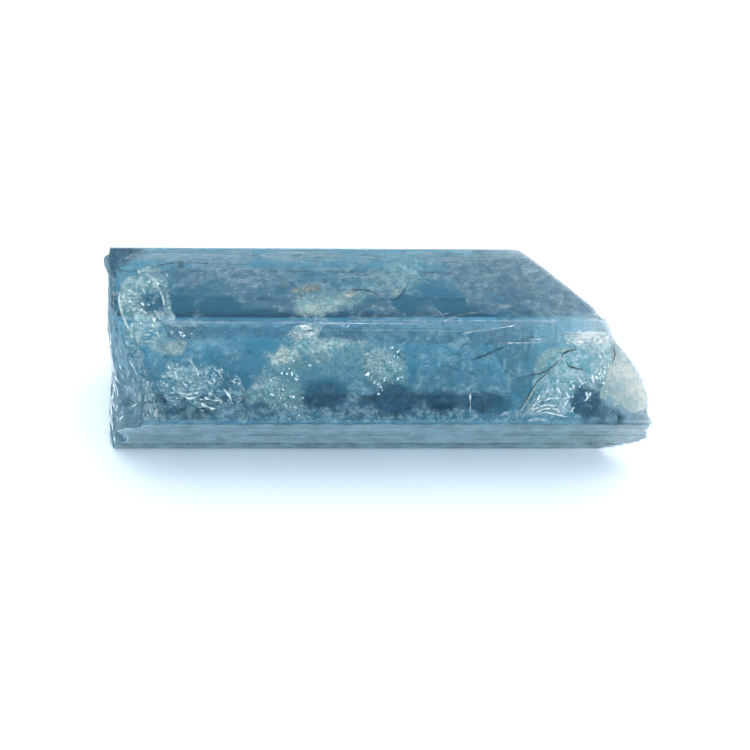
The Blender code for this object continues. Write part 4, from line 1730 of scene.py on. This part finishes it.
    pale_strands: Strands = Strands(
        "cream_lines", Side.TOP,
        FlakeFinish("cream_line", colour=(0.95, 0.9, 0.74), roughness=0.6, metallic=0.0),
        (((447, 298.5), (464, 296), (476, 292.3), (489, 289.5), (505, 285)),
         ((445, 319), (462, 314.5), (485, 311), (519, 305.6)),
         ((466, 305, 0.6), (476, 299, 0.6), (489, 294, 0.6)), ((513, 311, 0.3), (516, 314.5, 0.3)),
         ((300, 310.5), (320, 311), (333, 312))),
        depth=0.4, radius=0.045, ragged=0.9,
    )

    def build(self) -> None:
        """Make the sheets of the fan, its blades and threads, and its flashes."""
        build_all(self.form, *self.sheets, *self.strands, *self.flakes, self.pale_strands)


@dataclass(frozen=True)
class DeepShade:
    """Painted shade: nearly clear films of deep blue, laid where the crystal looks dark because no light
    comes through it from behind.
    """

    form: PrismForm
    # Painted shade: both finishes are deep blue films that darken the crystal where little light comes
    # through it.
    shade: VeilFinish = VeilFinish(
        "deep_shade", pale=(0.005, 0.1, 0.19), deep=(0.0, 0.03, 0.08), cover=0.9, most=0.97, cloud=0.9,
        edge=0.3, grainy=0.2, web=0.5, web_size=0.8, seed=16.0,
    )
    dusk: VeilFinish = VeilFinish(
        "painted_dusk_shade", pale=(0.14, 0.3, 0.42), deep=(0.01, 0.1, 0.2), cover=0.85, most=0.78,
        cloud=(1.6, 1.2, 1.2), grainy=0.3, seed=19.0,
    )
    sheets: tuple[Film, ...] = (
        Film(
            "shade_corner", Side.TOP, shade, ((108, 247), (160, 248), (160, 275), (114, 292)), depth=0.2,
            soft=1.0, base=-0.3, cell=1.4, seed=13.0,
            patches=(Patch(117, 257, 22, 12, 1.7, -25), Patch(138, 252, 12, 6, 1.0, -15),
                     Patch(112, 272, 6, 14, 1.0)),
        ),
        Film(
            "shade_spot", Side.TOP, shade, ((174, 257), (187, 257), (186, 269), (176, 270)), depth=0.6,
            soft=4.0, base=1.1, seed=17.0,
        ),
        Film(
            "shade_right", Side.TOP, dusk,
            ((425, 247), (578, 249), (616, 276), (652, 322), (480, 322), (450, 290)), depth=0.2,
            soft=18.0, base=1.3, cell=2.0, wobble=0.04, seed=19.0,
            patches=(Patch(560, 268, 20, 10, 0.5), Patch(600, 300, 40, 30, 0.7),
                     Patch(540, 258, 30, 8, 0.5)),
        ),
        Film(
            "shade_top", Side.TOP, dusk, ((160, 258), (300, 258), (300, 304), (176, 304)), depth=0.3,
            soft=14.0, base=0.75, cell=2.2, wobble=0.04, seed=29.0,
        ),
        Film(
            "shade_far", Side.FRONT_LOWER, dusk,
            ((580, 419), (655, 421), (672, 430), (652, 456), (580, 456)), depth=0.2, soft=6.0, base=1.6,
            wobble=0.04, seed=27.0,
        ),
        Film(
            "shade_mid", Side.FRONT_UPPER, dusk,
            ((410, 332), (566, 330), (552, 350), (534, 372), (520, 410), (410, 400), (420, 370)),
            depth=0.6, soft=18.0, base=0.62, cell=2.2, wobble=0.1, seed=23.0,
        ),
        Film(
            "shade_left", Side.FRONT_UPPER, dusk,
            ((150, 345), (250, 338), (262, 350), (244, 372), (252, 410), (238, 420), (150, 420),
             (146, 380)),
            depth=0.9, soft=18.0, base=0.6, cell=2.2, wobble=0.1, seed=24.0,
            patches=(Patch(255, 360, 20, 14, 0.3),),
        ),
        Film(
            "shade_strip", Side.FRONT_UPPER, dusk,
            ((160, 322), (535, 324), (540, 344), (480, 350), (330, 342), (165, 342)), depth=0.25,
            soft=6.0, base=1.15, wobble=0.05, seed=21.0,
        ),
        Film(
            "shade_low", Side.FRONT_UPPER, shade, ((285, 372), (530, 372), (530, 421), (285, 421)),
            depth=0.45, soft=5.0, base=-0.25, cell=1.8, wobble=0.1, seed=18.0,
            patches=(Patch(324, 394, 24, 13, 1.15), Patch(393, 399, 21, 15, 1.35),
                     Patch(488, 405, 24, 11, 1.15), Patch(450, 398, 28, 10, 0.85),
                     Patch(416, 396, 9, 6, 0.7, -20), Patch(352, 400, 10, 6, 0.5, 15)),
        ),
        Film(
            "shade_fan", Side.FRONT_UPPER, shade,
            ((568, 380), (602, 376), (612, 400), (640, 424), (578, 426), (564, 410)), depth=1.6,
            soft=10.0, base=1.1, cell=2.0, seed=15.0,
        ),
    )

    def build(self) -> None:
        """Make the painted shade as thin films of deep blue."""
        build_all(self.form, *self.sheets)


@dataclass(frozen=True)
class BrokenEnds:
    """The frosted skins of the two ends, and the streaks that run down the left one."""

    form: PrismForm
    skins: tuple[BrokenSkin, ...] = (
        BrokenSkin(
            "left_skin", False,
            VeilFinish(
                "left_frost", pale=(0.31, 0.46, 0.52), deep=(0.03, 0.12, 0.17), cover=0.95, most=0.95,
                cloud=(0.16, 1.6, 1.6), grain=(0.07, 0.6, 0.6), grainy=0.4, seed=14.0,
            ),
        ),
        BrokenSkin(
            "right_skin", True,
            VeilFinish(
                "right_frost", pale=(0.36, 0.50, 0.54), deep=(0.02, 0.12, 0.19), cover=0.6, most=0.55,
                cloud=(0.9, 1.4, 1.4), edge=0.25, grain=(0.2, 0.3, 0.3), grainy=0.5, web=0.5, web_size=1.4,
                mottle=1.1, seed=15.0,
            ),
        ),
    )
    streaks: int = 260
    streaks_seed: int = 8
    streak_rise: float = 0.01
    streak_rim: float = 0.15
    blend: VeilFinish = VeilFinish(
        "border_veil", pale=(0.44, 0.6, 0.64), deep=(0.06, 0.2, 0.26), cover=0.8, most=0.85,
        cloud=(0.5, 0.9, 0.9), edge=0.25, grain=(0.1, 0.3, 0.3), grainy=0.5, web=0.5, web_size=0.7,
        seed=34.0,
    )
    sheets: tuple[Film, ...] = (
        Film(
            "border_sheet", Side.FRONT_UPPER, blend,
            ((112, 317), (128, 319), (150, 356), (164, 400), (172, 426), (130, 426), (124, 380)),
            depth=0.1, wobble=0.02, soft=8.0, base=1.3, seed=34.0,
        ),
        Film(
            "border_top", Side.TOP, blend,
            ((109, 266), (117, 272), (116.5, 300), (121, 323), (112, 323), (107, 300)), depth=0.1,
            wobble=0.02, soft=4.0, base=1.3, cell=1.2, seed=35.0,
        ),
    )
    flakes: tuple[Flakes, ...] = (
        Flakes(
            "left_sparks", Side.FRONT_UPPER, FlakeFinish("left_spark", metallic=0.3),
            ((124, 332), (138, 338), (150, 380), (158, 418), (136, 420), (132, 380)), count=110,
            depth=(0.05, 0.09), along=(0.5, 1.0), seed=41,
        ),
        Flakes(
            "left_sparks_low", Side.FRONT_LOWER, FlakeFinish("left_spark_low", metallic=0.3),
            ((112, 424), (138, 424), (142, 436), (132, 446), (116, 446)), count=110, depth=(0.06, 0.25),
            along=(0.5, 1.0), seed=42,
        ),
    )

    def build(self) -> None:
        """Make the two skins, the streaks, and the border behind the left end."""
        build_all(self.form, *self.skins, self.end_streaks(), *self.sheets, *self.flakes)

    def end_streaks(self) -> Strands:
        """Hair-thin ridges that run down the left end, and lean to the front as they go."""
        rng = np.random.default_rng(self.streaks_seed)
        lines = []
        for _ in range(self.streaks):
            y, z = -7.4 + 11 * rng.random(), 0.5 + 10.5 * rng.random()
            length = 0.25 + 1.3 * rng.random() ** 2
            lines.append(((y, z), (y - 0.3 * length, z - length / 2), (y - 0.6 * length, z - length)))
        kept = tuple(line for line in lines if self.on_end(line))
        finish = FlakeFinish("end_streak", colour=(0.92, 0.95, 1.0), roughness=0.4, metallic=0.1)
        return Strands(
            "end_streaks", None, finish, kept, depth=-self.streak_rise, radius=0.055, ragged=1.1, flat=0.5
        )

    def on_end(self, line: Outline) -> bool:
        """Whether a streak stays inside the rim of the end."""
        points = np.insert(np.array(line), 0, 0.0, axis=1)
        return bool(self.form.holds(points, self.streak_rim).all())


@dataclass(frozen=True)
class Studio:
    """The white table, the light round it and the camera. Places and sizes are in metres."""

    table_white: Colour = (0.90, 0.94, 0.985)
    table_half: float = 1.5
    table_drop: float = 0.00005
    sky: Colour = (1.16, 1.32, 1.42)
    box_size: float = 0.30
    box_at: Spot = (0.16, 0.10, 0.30)
    box_watts: float = 0.34
    fill_size: float = 0.24
    fill_at: Spot = (-0.02, -0.16, 0.38)
    fill_watts: float = 0.36
    lamps_aim: Spot = (0, 0, 0.006)

    def build(self) -> None:
        """Put up the table, the lights and the camera."""
        self.add_floor()
        self.add_lights()
        self.add_camera()
        self.set_light_paths()

    def add_floor(self) -> None:
        """A plain white table."""
        mesh = bpy.data.meshes.new("table")
        half = self.table_half
        corners = [(-half, -half, 0), (half, -half, 0), (half, half, 0), (-half, half, 0)]
        mesh.from_pydata(corners, [], [(0, 1, 2, 3)])
        floor = bpy.data.objects.new("table", mesh)
        floor.location.z = -self.table_drop
        bpy.context.scene.collection.objects.link(floor)
        graph = Graph("white_table")
        graph.set(Base_Color=self.table_white, Roughness=0.9, Specular_IOR_Level=0.0)
        mesh.materials.append(graph.material)

    def add_lights(self) -> None:
        """A pale sky all round, one wide soft box overhead and a fill lamp in front."""
        world = bpy.data.worlds.new("pale_tent")
        world.use_nodes = True
        background = world.node_tree.nodes["Background"]
        background.inputs["Color"].default_value = (*self.sky, 1)
        background.inputs["Strength"].default_value = 1.0
        bpy.context.scene.world = world
        self.add_lamp("soft_box", self.box_at, self.box_size, self.box_watts)
        self.add_lamp("front_fill", self.fill_at, self.fill_size, self.fill_watts)

    def add_lamp(self, name: str, place: Spot, size: float, watts: float) -> None:
        """One wide square lamp that faces the crystal.

        Args:
            name: What it is called.
            place: Where it hangs, in metres.
            size: Its side, in metres.
            watts: Its power.
        """
        data = bpy.data.lights.new(name, "AREA")
        data.shape = "SQUARE"
        data.size = size
        data.energy = watts
        lamp = bpy.data.objects.new(name, data)
        lamp.location = place
        aim = Vector(self.lamps_aim) - lamp.location
        lamp.rotation_euler = aim.to_track_quat("-Z", "Y").to_euler()
        bpy.context.scene.collection.objects.link(lamp)

    def add_camera(self) -> None:
        """A long lens that looks down at the front of the crystal."""
        data = bpy.data.cameras.new("camera")
        data.lens = VIEW.lens
        data.sensor_width = VIEW.sensor
        data.clip_start = 0.01
        data.clip_end = 10.0
        camera = bpy.data.objects.new("camera", data)
        camera.location = Vector(VIEW.eye()) * MM
        camera.rotation_euler = (math.radians(90 - VIEW.elevation), 0, 0)
        bpy.context.scene.collection.objects.link(camera)
        bpy.context.scene.camera = camera

    def set_light_paths(self) -> None:
        """Let light go through the clear crystal many times, and keep its colours plain."""
        scene = bpy.context.scene
        scene.view_settings.view_transform = "Standard"
        scene.view_settings.look = "None"
        scene.view_settings.exposure = 0.0
        scene.cycles.max_bounces = 24
        scene.cycles.transmission_bounces = 24
        scene.cycles.glossy_bounces = 12
        scene.cycles.diffuse_bounces = 6
        scene.cycles.transparent_max_bounces = 48
        scene.cycles.caustics_reflective = True
        scene.cycles.caustics_refractive = True
        scene.cycles.blur_glossy = 0.3
        scene.cycles.sample_clamp_indirect = 6.0
        scene.cycles.use_denoising = True


def main() -> None:
    """Build the crystal and its studio."""
    logging.basicConfig(level=logging.INFO, format="%(name)s: %(message)s")
    form = PrismForm()
    body = CrystalBody(form).build()
    body.data.materials.append(ClearBeryl().material())
    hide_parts("crystal")
    for group in (BrokenEnds, SurfaceHaze, DeepShade, LeftLobe, SparklePatch, MiddleCloud, RightFan):
        group(form).build()
    Studio().build()
    bpy.context.view_layer.update()


if __name__ == "__main__":
    main()
